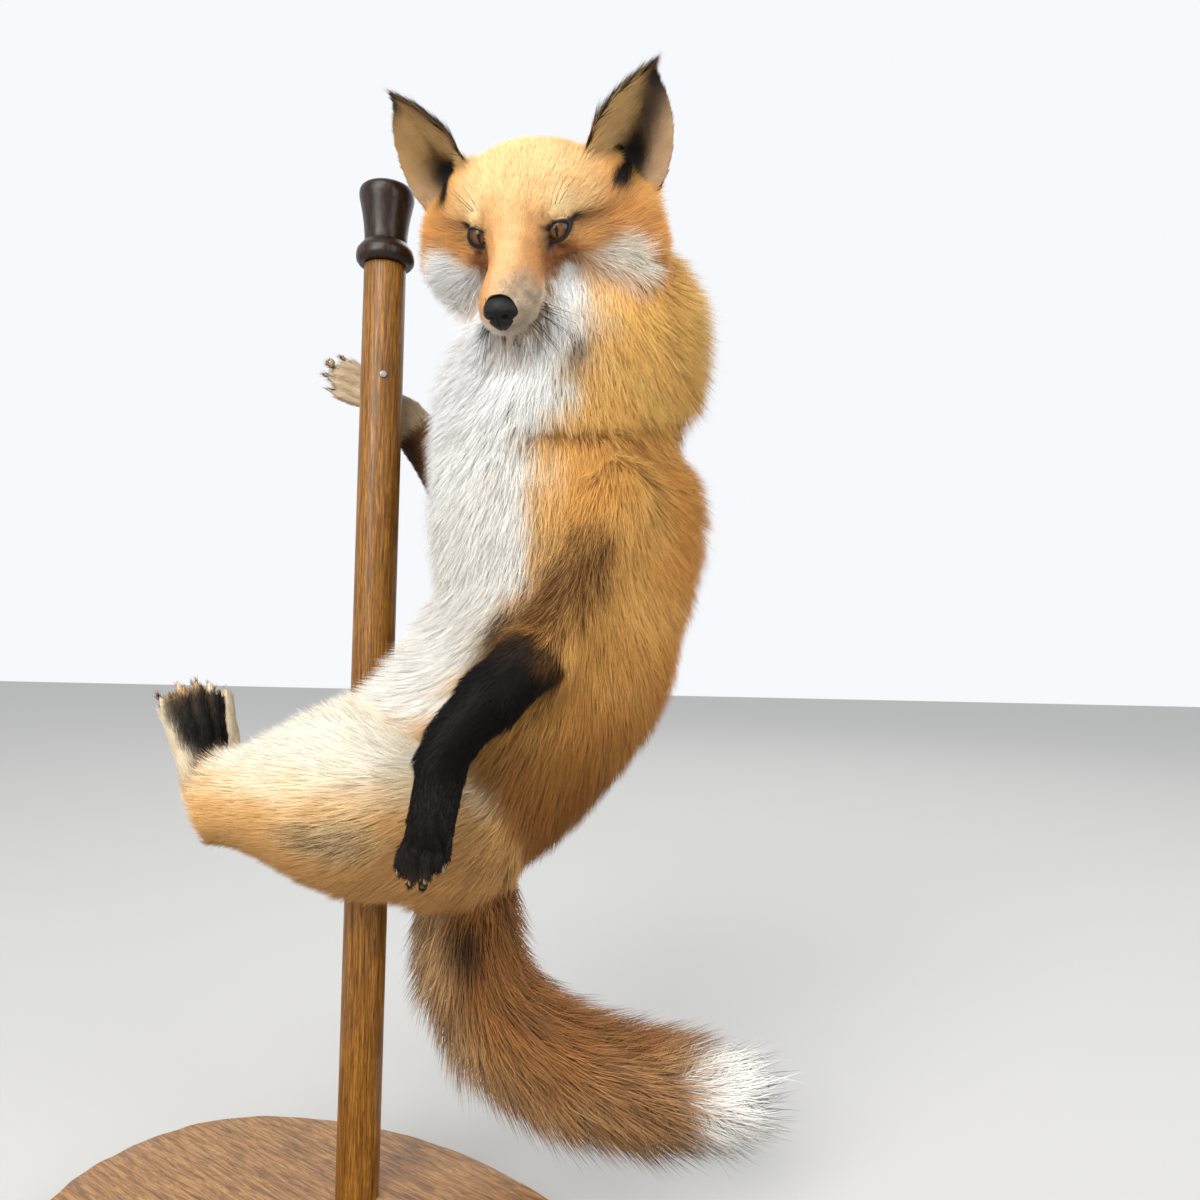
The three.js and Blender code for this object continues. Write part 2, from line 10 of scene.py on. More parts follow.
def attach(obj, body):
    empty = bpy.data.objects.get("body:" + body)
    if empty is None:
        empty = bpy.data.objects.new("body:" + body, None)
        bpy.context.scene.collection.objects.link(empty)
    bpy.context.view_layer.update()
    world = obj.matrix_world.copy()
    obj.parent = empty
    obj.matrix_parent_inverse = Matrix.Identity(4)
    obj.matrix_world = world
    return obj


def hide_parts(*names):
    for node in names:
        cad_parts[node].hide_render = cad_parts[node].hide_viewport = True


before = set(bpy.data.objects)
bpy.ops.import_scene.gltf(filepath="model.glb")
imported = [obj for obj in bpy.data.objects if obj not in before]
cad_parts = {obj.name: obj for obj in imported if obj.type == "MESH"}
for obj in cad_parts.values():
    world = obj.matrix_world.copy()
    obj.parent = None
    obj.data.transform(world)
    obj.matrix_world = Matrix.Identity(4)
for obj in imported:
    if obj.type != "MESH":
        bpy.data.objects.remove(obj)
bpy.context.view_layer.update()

# ---- The skin ----
# The tanned skin is drawn over a carved form and sewn shut, so it is one surface from the lips
# to the tail. It lies a coat's depth inside the hair tips. Ears, toes and lids are part of it.
MM = 0.001
SKIN_VOXEL = 2.7 * MM
EARS = ("ear_left", "ear_right")
HARD = ("eye_left", "eye_right", "nose", "pole", "collar", "cap", "base")
FLESH = [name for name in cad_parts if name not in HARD]

# The head's own frame: left, forward and up from the point between the eyes.
HEAD_AT = np.array((110, -66, 738)) * MM
HEAD_YAW = math.radians(-13)
HEAD_PITCH = math.radians(43)
FORWARD = np.array((
    math.sin(HEAD_YAW) * math.cos(HEAD_PITCH),
    -math.cos(HEAD_YAW) * math.cos(HEAD_PITCH),
    -math.sin(HEAD_PITCH),
))
LEFT = np.cross((0, 0, 1), FORWARD)
LEFT /= np.linalg.norm(LEFT)
HEAD_AXES = np.array((LEFT, FORWARD, np.cross(FORWARD, LEFT)))
UPWARD = HEAD_AXES[2]


def on_head(left, forward, up):
    """A place on the head, in millimetres from between the eyes."""
    return HEAD_AT + np.array((left, forward, up)) * MM @ HEAD_AXES


def in_head(points):
    """Points in the head's frame, in millimetres."""
    return (points - HEAD_AT) @ HEAD_AXES.T / MM


def only(*pieces):
    """Selects just these pieces."""
    bpy.ops.object.select_all(action="DESELECT")
    for piece in pieces:
        piece.select_set(True)
    bpy.context.view_layer.objects.active = pieces[0]


def worked(piece, act):
    """Does one thing to all the faces of a piece."""
    only(piece)
    bpy.ops.object.mode_set(mode="EDIT")
    bpy.ops.mesh.select_all(action="SELECT")
    act()
    bpy.ops.object.mode_set(mode="OBJECT")


def sewn(mesh):
    """A mesh's places and triangles, with its loose triangles joined at their corners."""
    mesh.calc_loop_triangles()
    places = np.empty(len(mesh.vertices) * 3)
    mesh.vertices.foreach_get("co", places)
    corners = np.empty(len(mesh.loop_triangles) * 3, dtype=int)
    mesh.loop_triangles.foreach_get("vertices", corners)
    welded, where = np.unique(places.reshape(-1, 3).round(6), axis=0, return_inverse=True)
    return welded, where.reshape(-1)[corners].reshape(-1, 3)


def normals_of(places, triangles):
    """The direction that points out of the surface at each place."""
    a, b, c = (places[triangles[:, i]] for i in range(3))
    faces = np.cross(b - a, c - a)
    summed = np.stack([
        sum(np.bincount(triangles[:, i], faces[:, k], len(places)) for i in range(3))
        for k in range(3)
    ], axis=1)
    return summed / np.maximum(np.linalg.norm(summed, axis=1, keepdims=True), 1e-12)


def new_mesh_object(name, places, faces):
    """A piece of this name, with these places and faces."""
    mesh = bpy.data.meshes.new(name)
    mesh.from_pydata([tuple(p) for p in places], [], [tuple(f) for f in faces])
    piece = bpy.data.objects.new(name, mesh)
    bpy.context.scene.collection.objects.link(piece)
    return piece


SWELL = 0.9 * MM         # closes the cuts between the form's pieces
EAR_SWELL = 1.4 * MM
form_places, form_triangles, form_nodes = [], [], []
offset = 0
for number, name in enumerate(FLESH):
    places, triangles = sewn(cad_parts[name].data)
    places = places + normals_of(places, triangles) * (EAR_SWELL if name in EARS else SWELL)
    form_places.append(places)
    form_triangles.append(triangles + offset)
    form_nodes.append(np.full(len(triangles), number))
    offset += len(places)
# A ball over each eye stands for the clay that the lids are modelled in.
LID_BALL = 12.4 / 9.5          # its radius beside the glass's
for name in ("eye_left", "eye_right"):
    places, triangles = sewn(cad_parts[name].data)
    middle = (places.min(axis=0) + places.max(axis=0)) / 2
    form_places.append(middle + (places - middle) * LID_BALL)
    form_triangles.append(triangles + offset)
    form_nodes.append(np.full(len(triangles), FLESH.index("head")))
    offset += len(places)
form_places = np.concatenate(form_places)
form_triangles = np.concatenate(form_triangles)
form_nodes = np.concatenate(form_nodes)

skin = new_mesh_object("skin", form_places, form_triangles)
only(skin)
skin.data.remesh_voxel_size = SKIN_VOXEL
bpy.ops.object.voxel_remesh()

# The face is made finer, for the lips, and finer still for the lids.
FINER_ROUND = [np.array((side * 28, 4, 0)) for side in (1, -1)]


def eye_distance(points):
    """How far points of the head's frame are from the nearer eye."""
    return np.min([np.linalg.norm(points - eye, axis=1) for eye in FINER_ROUND], axis=0)


tree = BVHTree.FromPolygons([Vector(p) for p in form_places], [tuple(t) for t in form_triangles])


def skin_places():
    """The skin's places as they are now."""
    found = np.empty(len(skin.data.vertices) * 3)
    skin.data.vertices.foreach_get("co", found)
    return found.reshape(-1, 3)


def nodes_at(points):
    """The number of the form's piece that each point is nearest to."""
    return form_nodes[[tree.find_nearest(Vector(p))[2] for p in points]]


def edit_where(chosen):
    """Opens the skin for editing with just the chosen places selected."""
    only(skin)
    bpy.ops.object.mode_set(mode="EDIT")
    bpy.ops.mesh.select_mode(type="VERT")
    bpy.ops.mesh.select_all(action="DESELECT")
    bpy.ops.object.mode_set(mode="OBJECT")
    skin.data.vertices.foreach_set("select", chosen)
    bpy.ops.object.mode_set(mode="EDIT")


# Under the long coat the skin is plain, so it has fewer and larger faces there.
PLAIN_SHARE = 0.28
TRUNK_PARTS = ("neck", "chest", "belly", "rump")
THIGHS = ("thigh_left", "thigh_right", "shank_left", "shank_right")
UPPER_ARMS = ("foreleg_left_upper", "foreleg_right_upper")
TAIL_PARTS = ("tail_base", "tail_middle", "tail_tip")
LONG_COATED = TRUNK_PARTS + THIGHS + UPPER_ARMS + TAIL_PARTS
edit_where(np.isin(nodes_at(skin_places()), [FLESH.index(name) for name in LONG_COATED]))
bpy.ops.mesh.decimate(ratio=PLAIN_SHARE)
bpy.ops.object.mode_set(mode="OBJECT")


def make_finer(chosen):
    """Divides the skin's faces wherever chosen picks their places in the head's frame."""
    edit_where(chosen(in_head(skin_places())))
    bpy.ops.mesh.subdivide(number_cuts=1)
    bpy.ops.object.mode_set(mode="OBJECT")


make_finer(lambda p: (eye_distance(p) < 27) | (p[:, 1] > 12) & (np.abs(p[:, 0]) < 40) & (p[:, 2] > -70))
make_finer(lambda p: eye_distance(p) < 16)
make_finer(lambda p: eye_distance(p) < 11)
worked(skin, bpy.ops.mesh.quads_convert_to_tris)

mesh = skin.data
count = len(mesh.vertices)
places = skin_places()
triangles = np.empty(len(mesh.polygons) * 3, dtype=int)
mesh.polygons.foreach_get("vertices", triangles)
triangles = triangles.reshape(-1, 3)
edges = np.empty(len(mesh.edges) * 2, dtype=int)
mesh.edges.foreach_get("vertices", edges)
edges = edges.reshape(-1, 2)
ends = np.concatenate((edges[:, 0], edges[:, 1]))
starts = np.concatenate((edges[:, 1], edges[:, 0]))
neighbours = np.maximum(np.bincount(ends, minlength=count), 1)


def spread(values, rounds, share=0.5):
    """Evens values out over the skin, each place with its neighbours."""
    values = np.array(values, dtype=float)
    flat = values.reshape(count, -1)
    for _ in range(rounds):
        mean = np.stack([
            np.bincount(ends, column[starts], count) / neighbours for column in flat.T
        ], axis=1)
        flat += share * (mean - flat)
    return flat.reshape(values.shape)


node_of = nodes_at(places)

# For each part of the fox, in millimetres: how deep its coat stands, how long and wide a lock
# is, how many square millimetres each lock has, and which way the hair lies.
TOWARDS_TAIL = tuple(-FORWARD)
COAT = {
    "muzzle": (0.9, 4.5, 0.42, 0.55, TOWARDS_TAIL),
    "lower_jaw": (1.5, 7, 0.5, 0.7, TOWARDS_TAIL),
    "head": (5, 12, 0.46, 0.62, TOWARDS_TAIL),
    "ear_left": (0.8, 4.5, 0.5, 0.9, tuple(on_head(95, -62, 82) - on_head(54, -58, -2))),
    "ear_right": (0.8, 4.5, 0.5, 0.9, tuple(on_head(-95, -62, 82) - on_head(-54, -58, -2))),
    "neck": (17, 38, 0.50, 1.35, (0.25, 0.1, -1)),
    "chest": (14, 33, 0.50, 1.4, (0, 0, -1)),
    "belly": (12, 29, 0.50, 1.5, (-0.25, 0, -1)),
    "rump": (12, 29, 0.50, 1.5, (-0.5, 0, -0.8)),
    "thigh_left": (9, 23, 0.48, 1.3, (-1, 0, -0.15)),
    "thigh_right": (9, 23, 0.52, 1.8, (-1, 0, -0.15)),
    "shank_left": (6, 17, 0.46, 1.15, (-1, 0, 0.05)),
    "shank_right": (6, 17, 0.50, 1.7, (-1, 0, 0.05)),
    "hindfoot_left": (1.3, 7, 0.55, 1.1, (-0.25, 0, 1)),
    "hindfoot_right": (1.3, 7, 0.55, 1.4, (-0.25, 0, 1)),
    "foreleg_left_upper": (9, 25, 0.48, 1.3, (-0.3, -0.2, -1)),
    "foreleg_left_forearm": (3.4, 12.5, 0.6, 1.1, (-0.7, -0.2, -0.8)),
    "forepaw_left": (1.2, 6, 0.55, 1.0, (-0.15, 0, -1)),
    "foreleg_right_upper": (7, 22, 0.50, 1.6, (-0.4, 0.2, -1)),
    "foreleg_right_forearm": (2.6, 9, 0.7, 1.5, (-0.8, -0.1, 0.6)),
    "forepaw_right": (1.2, 7, 0.55, 1.3, (-1, 0, 0.3)),
    "tail_base": (26, 46, 0.66, 2.3, (0, 0, -1)),
    "tail_middle": (34, 54, 0.66, 2.3, (1, 0, -0.2)),
    "tail_tip": (30, 50, 0.66, 2.2, (1, 0, 0.2)),
}
sizes = np.array([COAT[name][:4] for name in FLESH])[node_of]
lie = np.array([np.array(COAT[name][4]) / np.linalg.norm(COAT[name][4]) for name in FLESH])[node_of]


def step(value, soft):
    """0 well below nought and 1 well above it, with an edge as wide as soft."""
    return 1 / (1 + np.exp(-np.clip(value / soft, -30, 30)))


def along(path, points):
    """Where each point comes along a bent line: its share of the way, and the line's heading."""
    path = np.array(path, dtype=float) * MM
    runs = np.diff(path, axis=0)
    lengths = np.linalg.norm(runs, axis=1)
    before = np.concatenate(([0], np.cumsum(lengths)))
    nearest = np.full(len(points), np.inf)
    share = np.zeros(len(points))
    middle = np.zeros((len(points), 3))
    heading = np.zeros((len(points), 3))
    for start, run, length, passed in zip(path, runs, lengths, before):
        part = np.clip((points - start) @ run / length ** 2, 0, 1)
        foot = start + part[:, None] * run
        away = np.linalg.norm(points - foot, axis=1)
        closer = away < nearest
        nearest = np.where(closer, away, nearest)
        share = np.where(closer, (passed + part * length) / before[-1], share)
        middle[closer] = foot[closer]
        heading[closer] = run / length
    return share, middle, heading


TAIL = ((80, 8, 300), (72, 30, 244), (74, 42, 192), (98, 46, 146), (150, 44, 114), (214, 36, 102),
        (276, 22, 106), (330, 3, 121))
TRUNK = ((150, 12, 770), (160, 26, 728), (158, 22, 694), (154, 14, 654), (148, 4, 600), (147, -5, 545),
         (147, -10, 485), (137, -10, 432), (108, -8, 385), (60, -6, 330))


def is_part(*names):
    """Which of the skin's places belong to these parts of the form."""
    return np.isin(node_of, [FLESH.index(name) for name in names])


tail_share, tail_middle, tail_heading = along(TAIL, places)
on_tail = is_part(*TAIL_PARTS)
lie[on_tail] = tail_heading[on_tail]
_, trunk_middle, trunk_heading = along(TRUNK, places)
on_trunk = is_part(*TRUNK_PARTS)
lie[on_trunk] = trunk_heading[on_trunk]


def spot(coordinates, middle, radii):
    """A soft patch: 1 at its middle and nearly 0 at twice its radii."""
    return np.exp(-sum(((c - m) / r) ** 2 for c, m, r in zip(coordinates, middle, radii)))


def resized(mask, *wanted):
    """Brings the coat to these sizes where mask is near 1."""
    for column, size in enumerate(wanted):
        sizes[:, column] += mask * (size - sizes[:, column])


# The cheeks' coat is long and sweeps out and down; the brow's and the bridge's is short.
head_places = in_head(places)
left, forward, up = head_places.T
beside = np.abs(left)
on_head_skin = is_part("head")
cheek = spot((beside, forward, up), (62, -50, -32), (30, 34, 34))
resized(on_head_skin * cheek, 15, 34, 0.6, 2.1)
resized(on_head_skin * step(-forward - 74, 8), 12, 30, 0.62, 2.4)
ear_foot = spot((beside, forward, up), (52, -52, 8), (20, 22, 26))
sides = step(beside - 58, 6) * step(-forward - 6, 8)
resized(on_head_skin * np.maximum(ear_foot, sides * 0.8), 7, 15, 0.48, 0.75)
close_to_eye = np.exp(-(eye_distance(head_places) / 19) ** 4)
resized(on_head_skin * np.maximum(close_to_eye, step(forward - 2, 5)), 1.3, 5.5, 0.42, 0.5)
DOWN_THE_NAPE = np.array((0.3, 0, -1.3))
lie += (on_head_skin * cheek)[:, None] * (np.sign(left)[:, None] * LEFT * 0.9 - UPWARD * 0.45)
lie += (on_head_skin * step(-forward - 60, 8))[:, None] * DOWN_THE_NAPE

# Inside the ears long hair grows from the inner edge across the hollow, which is short-haired.
EAR_FOOT = (54, -58, -2)
EAR_LENGTH = 92
EAR_AXIS = np.array((0.438, -0.043, 0.897))
EAR_ACROSS = np.array((0.897, 0, -0.438))
from_ear_foot = np.stack((beside, forward, up), axis=1) - EAR_FOOT
ear_up = from_ear_foot @ EAR_AXIS / EAR_LENGTH
ear_across = from_ear_foot @ EAR_ACROSS


def on_both_sides(direction):
    """A direction of the left ear, mirrored for each place that is on the right."""
    return (np.where(left[:, None] < 0, (-1, 1, 1), 1) * direction) @ HEAD_AXES


inner_edge = is_part(*EARS) & (ear_across < -4)
sizes[inner_edge] = (1.6, 21, 0.40, 0.5)
hollow = np.exp(-((ear_across - 3) / 9) ** 4 - ((ear_up - 0.30) / 0.17) ** 4)
hollow_skin = is_part("head", *EARS) * hollow * step(forward + 80, 4)
resized(hollow_skin > 0.4, 1.5, 6, 0.42, 0.6)
up_ear = on_both_sides(EAR_AXIS)
lie[inner_edge] = (up_ear * 0.8 + on_both_sides(EAR_ACROSS) * 0.6)[inner_edge]
lie += hollow_skin[:, None] * (up_ear - lie)
sizes = spread(sizes, 14)
lie = spread(lie, 10)

# The upper arms lie under the coat of the flank and hardly show above their elbows.
ELBOW_AT = 505
places = spread(places, 2)
upper_arm = spread(is_part(*UPPER_ARMS), 8) * step(places[:, 2] / MM - ELBOW_AT, 12)
places += upper_arm[:, None] * (spread(places, 60) - places)

# The muzzle is narrow in front, and the face fills out beside it, from the lips to the cheeks.
head_places = in_head(places)
left, forward, up = head_places.T
beside = np.abs(left)
face_skin = spread(is_part("head", "muzzle", "lower_jaw"), 4)
filled_to = 30 - 1.1 * (beside - 22) - 0.55 * (up + 30)
beside_muzzle = step(beside - 15, 2.5) * step(56 - beside, 4) * step(-7 - up, 2.5) * step(up + 46, 4)
MOST_FILLED = 13
MUZZLE_NARROWED = 0.15
EAR_HOLLOWED = 9
head_places[:, 1] += face_skin * beside_muzzle * np.clip(filled_to - forward, 0, MOST_FILLED)
head_places[:, 0] *= 1 - MUZZLE_NARROWED * face_skin * step(forward - 24, 7)
head_places[:, 1] -= EAR_HOLLOWED * spread(hollow_skin, 6)
places = HEAD_AT + head_places * MM @ HEAD_AXES
places += (face_skin * beside_muzzle)[:, None] * (spread(places, 26) - places)

# The ruff ends in a ledge, and the coat of the chest starts from under it.
RUFF_LEDGE = 9 * MM
ruff_edge = 596 + 0.31 * (places[:, 1] / MM + 86)
below_ruff = places[:, 2] / MM - ruff_edge
ruff = spread(is_part("neck", "chest"), 4)
ruff *= step(places[:, 0] / MM - 112, 10) * step(30 - places[:, 1] / MM, 12)
under_ruff = ruff * step(1 - below_ruff, 2) * step(below_ruff + 20, 7)
shortened = np.minimum(sizes[:, 1], 9 + np.where(below_ruff > 0, below_ruff, 99))
sizes[:, 1] += (ruff > 0.5) * (shortened - sizes[:, 1])
places -= normals_of(places, triangles) * (under_ruff * RUFF_LEDGE)[:, None]
form_at = places.copy()

# The skin is let in from the hair tips a little at a time, and evened as it goes. The tail's is
# a thin core inside its bush.
LET_IN_STEPS = 8
TAIL_CORE = 0.30          # as a share of the bush's width
TAIL_END_BACK = 46 * MM
tail_line = along(TAIL, places)[1]
tail_weight = spread(on_tail, 40)
depth = spread(sizes[:, 0], 6) * MM
small = np.exp(-depth / (3 * MM))
depth *= 1 - tail_weight
for _ in range(LET_IN_STEPS):
    places = places - normals_of(places, triangles) * (depth / LET_IN_STEPS)[:, None]
    evened = spread(places, 2)
    places += (1 - small)[:, None] * (evened - places)
core = TAIL_CORE + (1 - TAIL_CORE) * np.exp(-tail_share / 0.05) * 0.6
tail_middle = along(TAIL, places)[1]
places += (tail_weight * (1 - core))[:, None] * (tail_middle - places)
drawn_back = np.clip((tail_share - 0.72) / 0.28, 0, 1) ** 1.3 * TAIL_END_BACK
places -= (tail_weight * drawn_back)[:, None] * spread(tail_heading, 10)
places = np.where(on_tail[:, None], spread(places, 3), places)

# The lids are drawn over the glass: the skin lies close on it all round an almond opening,
# and is tucked in behind the glass inside that opening.
EYE_RADIUS = 9.5
LID_TUCK = 8.2                     # how far from the glass's middle the skin is inside the opening,
LID_LIES = 10.5                    # on its edge,
LID_RISE = 8.5                     # and how fast it rises outside it
BARE_RIM = 1.22
OPENING = (9.6, 4.9, 6.0)          # half its length, and its height above and below the middle
POINTED = 1.55                     # 2 would be an ellipse, 1 a diamond


def eye_axes(side):
    """An eye's middle, and its long, upward and outward directions, in the head's frame."""
    middle = np.array((side * 28, 0.5, 0))
    out = np.array((side * 0.22, 0.92, 0.32))
    out /= np.linalg.norm(out)
    long = np.array((side * 0.87, -0.24, 0.40))
    long -= out * (long @ out)
    long /= np.linalg.norm(long)
    raised = np.cross(long, out) * side
    return middle, long, raised, out


def almond(points, side):
    """How far out points lie from the lid opening, 1 on its edge, how near to its corners, and
    how squarely in front of the eye and how far from its middle they are."""
    middle, long, raised, out = eye_axes(side)
    away = points - middle
    reach = np.maximum(np.linalg.norm(away, axis=1), 1e-6)
    squarely = np.clip(away @ out / reach, -1, 1)
    arc = np.arccos(squarely) / np.maximum(np.sqrt(1 - squarely ** 2), 1e-3) * EYE_RADIUS
    a = away @ long / reach * arc / OPENING[0]
    b = away @ raised / reach * arc
    b = b / np.where(b > 0, OPENING[1], OPENING[2])
    value = (np.abs(a) ** POINTED + np.abs(b) ** POINTED) ** (1 / POINTED)
    return value, np.abs(a) / np.maximum(value, 1e-6), squarely, reach, away


# Creases part the four toes of each foot.
CREASE_DEPTH = 3 * MM
FEET = (
    # foot, first joint, toes' end,
    # across the toes, towards the pads, spread, toe radius, claw length
    ("forepaw_left", (69, -124, 336), (63, -122, 309),
     (1, 0, 0.12), (0, 1, 0), 8.6, 6.2, 7),
    ("forepaw_right", (-20, 31, 650), (-40, 24, 660),
     (-0.34, 0, -0.94), (0, -1, 0), 8.4, 6, 7),
    ("hindfoot_left", (-108, -54, 385), (-112, -58, 410),
     (0.86, 0.48, 0.16), (-0.5, 0.86, -0.1), 10.6, 7.4, 8),
    ("hindfoot_right", (-146, 60, 376), (-152, 56, 402),
     (0.9, 0.42, 0.2), (-0.44, 0.88, -0.1), 10.6, 7.4, 8),
)
crease = np.zeros(count)
for foot, knuckle, tip, across_toes, _, apart, _, _ in FEET:
    from_knuckle = places / MM - knuckle
    onward = np.array(tip, dtype=float) - knuckle
    along_toe = from_knuckle @ onward / (onward @ onward)
    toe = from_knuckle @ np.array(across_toes) / np.linalg.norm(across_toes) / apart + 1.5
    between = np.exp(-((toe % 1 - 0.5) / 0.17) ** 2) * step(1.9 - np.abs(toe - 1.5), 0.15)
    crease = np.maximum(crease, is_part(foot) * between * step(along_toe + 0.25, 0.12))
places -= normals_of(places, triangles) * (crease * CREASE_DEPTH)[:, None]

lid_edge = np.full(count, 9.0)
lid_corner = np.zeros(count)
head_places = in_head(places)
for side in (1, -1):
    value, cornered, facing, reach, away = almond(head_places, side)
    near_eye = (reach < 22) & (facing > -0.1)
    lowest = np.where(value < 1, LID_TUCK, LID_LIES)
    highest = np.where(value < 1, LID_TUCK, LID_LIES + LID_RISE * np.maximum(value - 1, 0) ** 1.2)
    wanted = np.clip(reach, lowest, np.maximum(highest, lowest))
    moved = head_places + away * (wanted / reach - 1)[:, None]
    head_places = np.where(near_eye[:, None], moved, head_places)
    lid_corner = np.where(near_eye & (value < lid_edge), cornered, lid_corner)
    lid_edge = np.where(near_eye, np.minimum(lid_edge, value), lid_edge)
places = HEAD_AT + head_places * MM @ HEAD_AXES
lid_zone = ((lid_edge > 1.25) & (lid_edge < 3)) * 0.5
places += lid_zone[:, None] * (spread(places, 3) - places)
skin.data.vertices.foreach_set("co", places.reshape(-1))
skin.data.update()

# The skin's unwrap, which the coat's locks also use.
skin.data.uv_layers.new(name="OFBake")
worked(skin, lambda: bpy.ops.uv.smart_project(angle_limit=math.radians(66), island_margin=0.004))
skin_uv = np.empty(len(triangles) * 6)
skin.data.uv_layers["OFBake"].data.foreach_get("uv", skin_uv)
skin_uv = skin_uv.reshape(-1, 3, 2)
normals = normals_of(places, triangles)


def paint(red, green, blue):
    """A colour as a painter reads it, from 0 to 255, in the linear values that shaders use."""
    display = np.array((red, green, blue)) / 255
    return np.where(display > 0.04045, ((display + 0.055) / 1.055) ** 2.4, display / 12.92)


def cloud(points, size, seed):
    """Wandering values between about -1 and 1 whose patches are about size millimetres."""
    shift = Vector((seed * 17.3, seed * 5.1, seed * 9.7))
    return np.array([noise.noise(Vector(p) / (size * MM) + shift) for p in points]) * 1.6


# The markings of a red fox, with some painted shade, laid one over another on the shape of the
# carved form. Their edges are set in millimetres, from the stand's foot (x, y, z) or from between
# the eyes (left, forward, up), or in degrees round the trunk from the chest's middle (turned). The
# clouds make them wander.
fur = np.zeros((count, 3))
dark_tips = np.full(count, 0.06)           # the share of locks that end in dark guard hair
broad = cloud(form_at, 38, 1)
middling = cloud(form_at, 16, 2)
fine = cloud(form_at, 7, 3)


def marked(mask, red, green, blue):
    """Lays a colour over the coat where mask is near 1."""
    global fur
    fur = fur + np.clip(mask, 0, 1)[:, None] * (paint(red, green, blue) - fur)


def node_mask(*names, rounds=6):
    """1 on these parts of the form and nought off them, with an edge evened over the skin."""
    return spread(is_part(*names), rounds)


x, y, z = (form_at / MM).T
left, forward, up = in_head(form_at).T
beside = np.abs(left)
marked(np.ones(count), 236, 182, 104)
marked(0.5 + 0.5 * broad, 224, 164, 86)

# The trunk: a white front from the throat to the groin, orange flanks and a richer back, and painted
# shade low on the flanks, under the ruff's ledge and low on the hip.
CHEST_FACES = np.array((-0.866, -0.5))
FRONT_WIDTH = ((380, 28), (463, 26), (494, 34), (522, 44), (557, 38), (583, 40), (600, 40), (612, 46),
               (640, 56), (655, 60), (680, 60), (720, 62))
trunk_out = form_at[:, :2] - trunk_middle[:, :2]
trunk_out /= np.maximum(np.linalg.norm(trunk_out, axis=1, keepdims=True), 1e-9)
turned = np.degrees(np.arccos(np.clip(trunk_out @ CHEST_FACES, -1, 1)))
front_edge = np.interp(z, *zip(*FRONT_WIDTH)) + 7 * middling + 5 * broad
trunk_mask = node_mask(*TRUNK_PARTS)
frontal = step(9 - (y - trunk_middle[:, 1] / MM), 4) * step(738 - z, 6)
marked(trunk_mask * step(turned - 128 + 14 * broad, 14), 210, 144, 72)
# Painted shade: the lower flanks are darkened, as if lit from above.
low_flank_shade = step(428 + 20 * broad - z, 26) * step(turned - 66, 12)
marked(trunk_mask * low_flank_shade * 0.95, 150, 98, 46)
# Painted shade in the ledge under the ruff.
marked(under_ruff * step(turned - 66, 8) * 0.9, 176, 116, 54)
# Painted shade low on the back of the hip.
hip_shade = node_mask("rump", "thigh_left", rounds=10) * step(x - 74 + 8 * middling, 9) * step(400 - z, 16)
marked(hip_shade * 0.9, 140, 92, 44)
marked(node_mask("neck", rounds=20) * step(165 - turned, 12), 255, 194, 110)
marked(trunk_mask * frontal * step(front_edge + 9 - turned, 4.5), 234, 204, 158)
white_front = trunk_mask * frontal * step(front_edge - turned, 3.5)
marked(white_front, 246, 247, 245)
marked(white_front * step(600 + 20 * broad - z, 20), 234, 231, 223)
dark_tips += trunk_mask * 0.10 * step(turned - 100, 20)

# The legs: black stockings below the elbow, grizzled where they begin, and white inner thighs.
BLACK = (13, 9, 8)
foreleg = np.clip(node_mask(*UPPER_ARMS, rounds=24) * 1.2, 0, 1)
ELBOW = ((163, -96, 526), (142, -96, 482), (120, -98, 448))
elbow_line = along(ELBOW, form_at)[1]
from_elbow = np.linalg.norm(form_at - elbow_line, axis=1) / MM
elbow = np.maximum(foreleg, trunk_mask) * step(26 + 6 * middling - from_elbow, 4)
near_forearm = node_mask("foreleg_left_forearm", "forepaw_left")
grizzled_arm = np.maximum(elbow, near_forearm)
down_arm = np.clip((545 - z) / 60, 0, 1)
marked(grizzled_arm * (0.5 + 0.5 * down_arm), 134, 94, 50)
dark_tips += elbow * 0.30
stocking = grizzled_arm * step(472 + 8 * middling - 0.9 * (x - 118) - z, 6)
dark_locks = grizzled_arm * (1 - stocking) * (0.28 + 0.45 * down_arm + 0.2 * middling)
marked(stocking, *BLACK)
far_forearm = node_mask("foreleg_right_forearm")
marked(far_forearm, 196, 130, 66)
marked(far_forearm * step(44 + 8 * middling - x, 8), 66, 46, 32)
marked(node_mask("forepaw_left", rounds=3) * step(340 - z, 8), 26, 22, 21)
marked(node_mask("forepaw_left", rounds=3) * step(306 + 3 * fine - z, 2), 84, 68, 52)
marked(node_mask("forepaw_right", rounds=3), 205, 182, 150)
thigh = node_mask(*THIGHS)
marked(thigh, 228, 178, 112)
# Painted shade on the underside of the thighs.
marked(thigh * step(326 + 6 * middling - z, 9), 196, 148, 92)
marked(thigh * step(z - 350 + 7 * middling, 6), 244, 220, 180)
marked(thigh * step(z - 364 + 7 * middling, 5), 230, 224, 208)
grizzled = np.exp(-(((x - 8) / 38) ** 2 + ((z - 324) / 17) ** 2) ** 2) * step(-30 - y, 8)
marked(thigh * grizzled * 0.9, 214, 190, 146)
dark_tips += thigh * (0.06 + 0.2 * grizzled)
dark_locks += thigh * grizzled * (0.38 + 0.4 * middling)
hindfoot = node_mask("hindfoot_left", "hindfoot_right", rounds=3)
marked(hindfoot, 206, 168, 122)
SOLE_FACES = np.array((-0.5, 0.86, -0.1))
upper_side = step(0.25 - normals @ SOLE_FACES, 0.12) * step(z - 348 + 5 * middling, 4)
black_up_to = 412 + 4 * fine + 0.5 * (x + 112) * (y < 0)
marked(hindfoot * upper_side * step(black_up_to - z, 2), *BLACK)
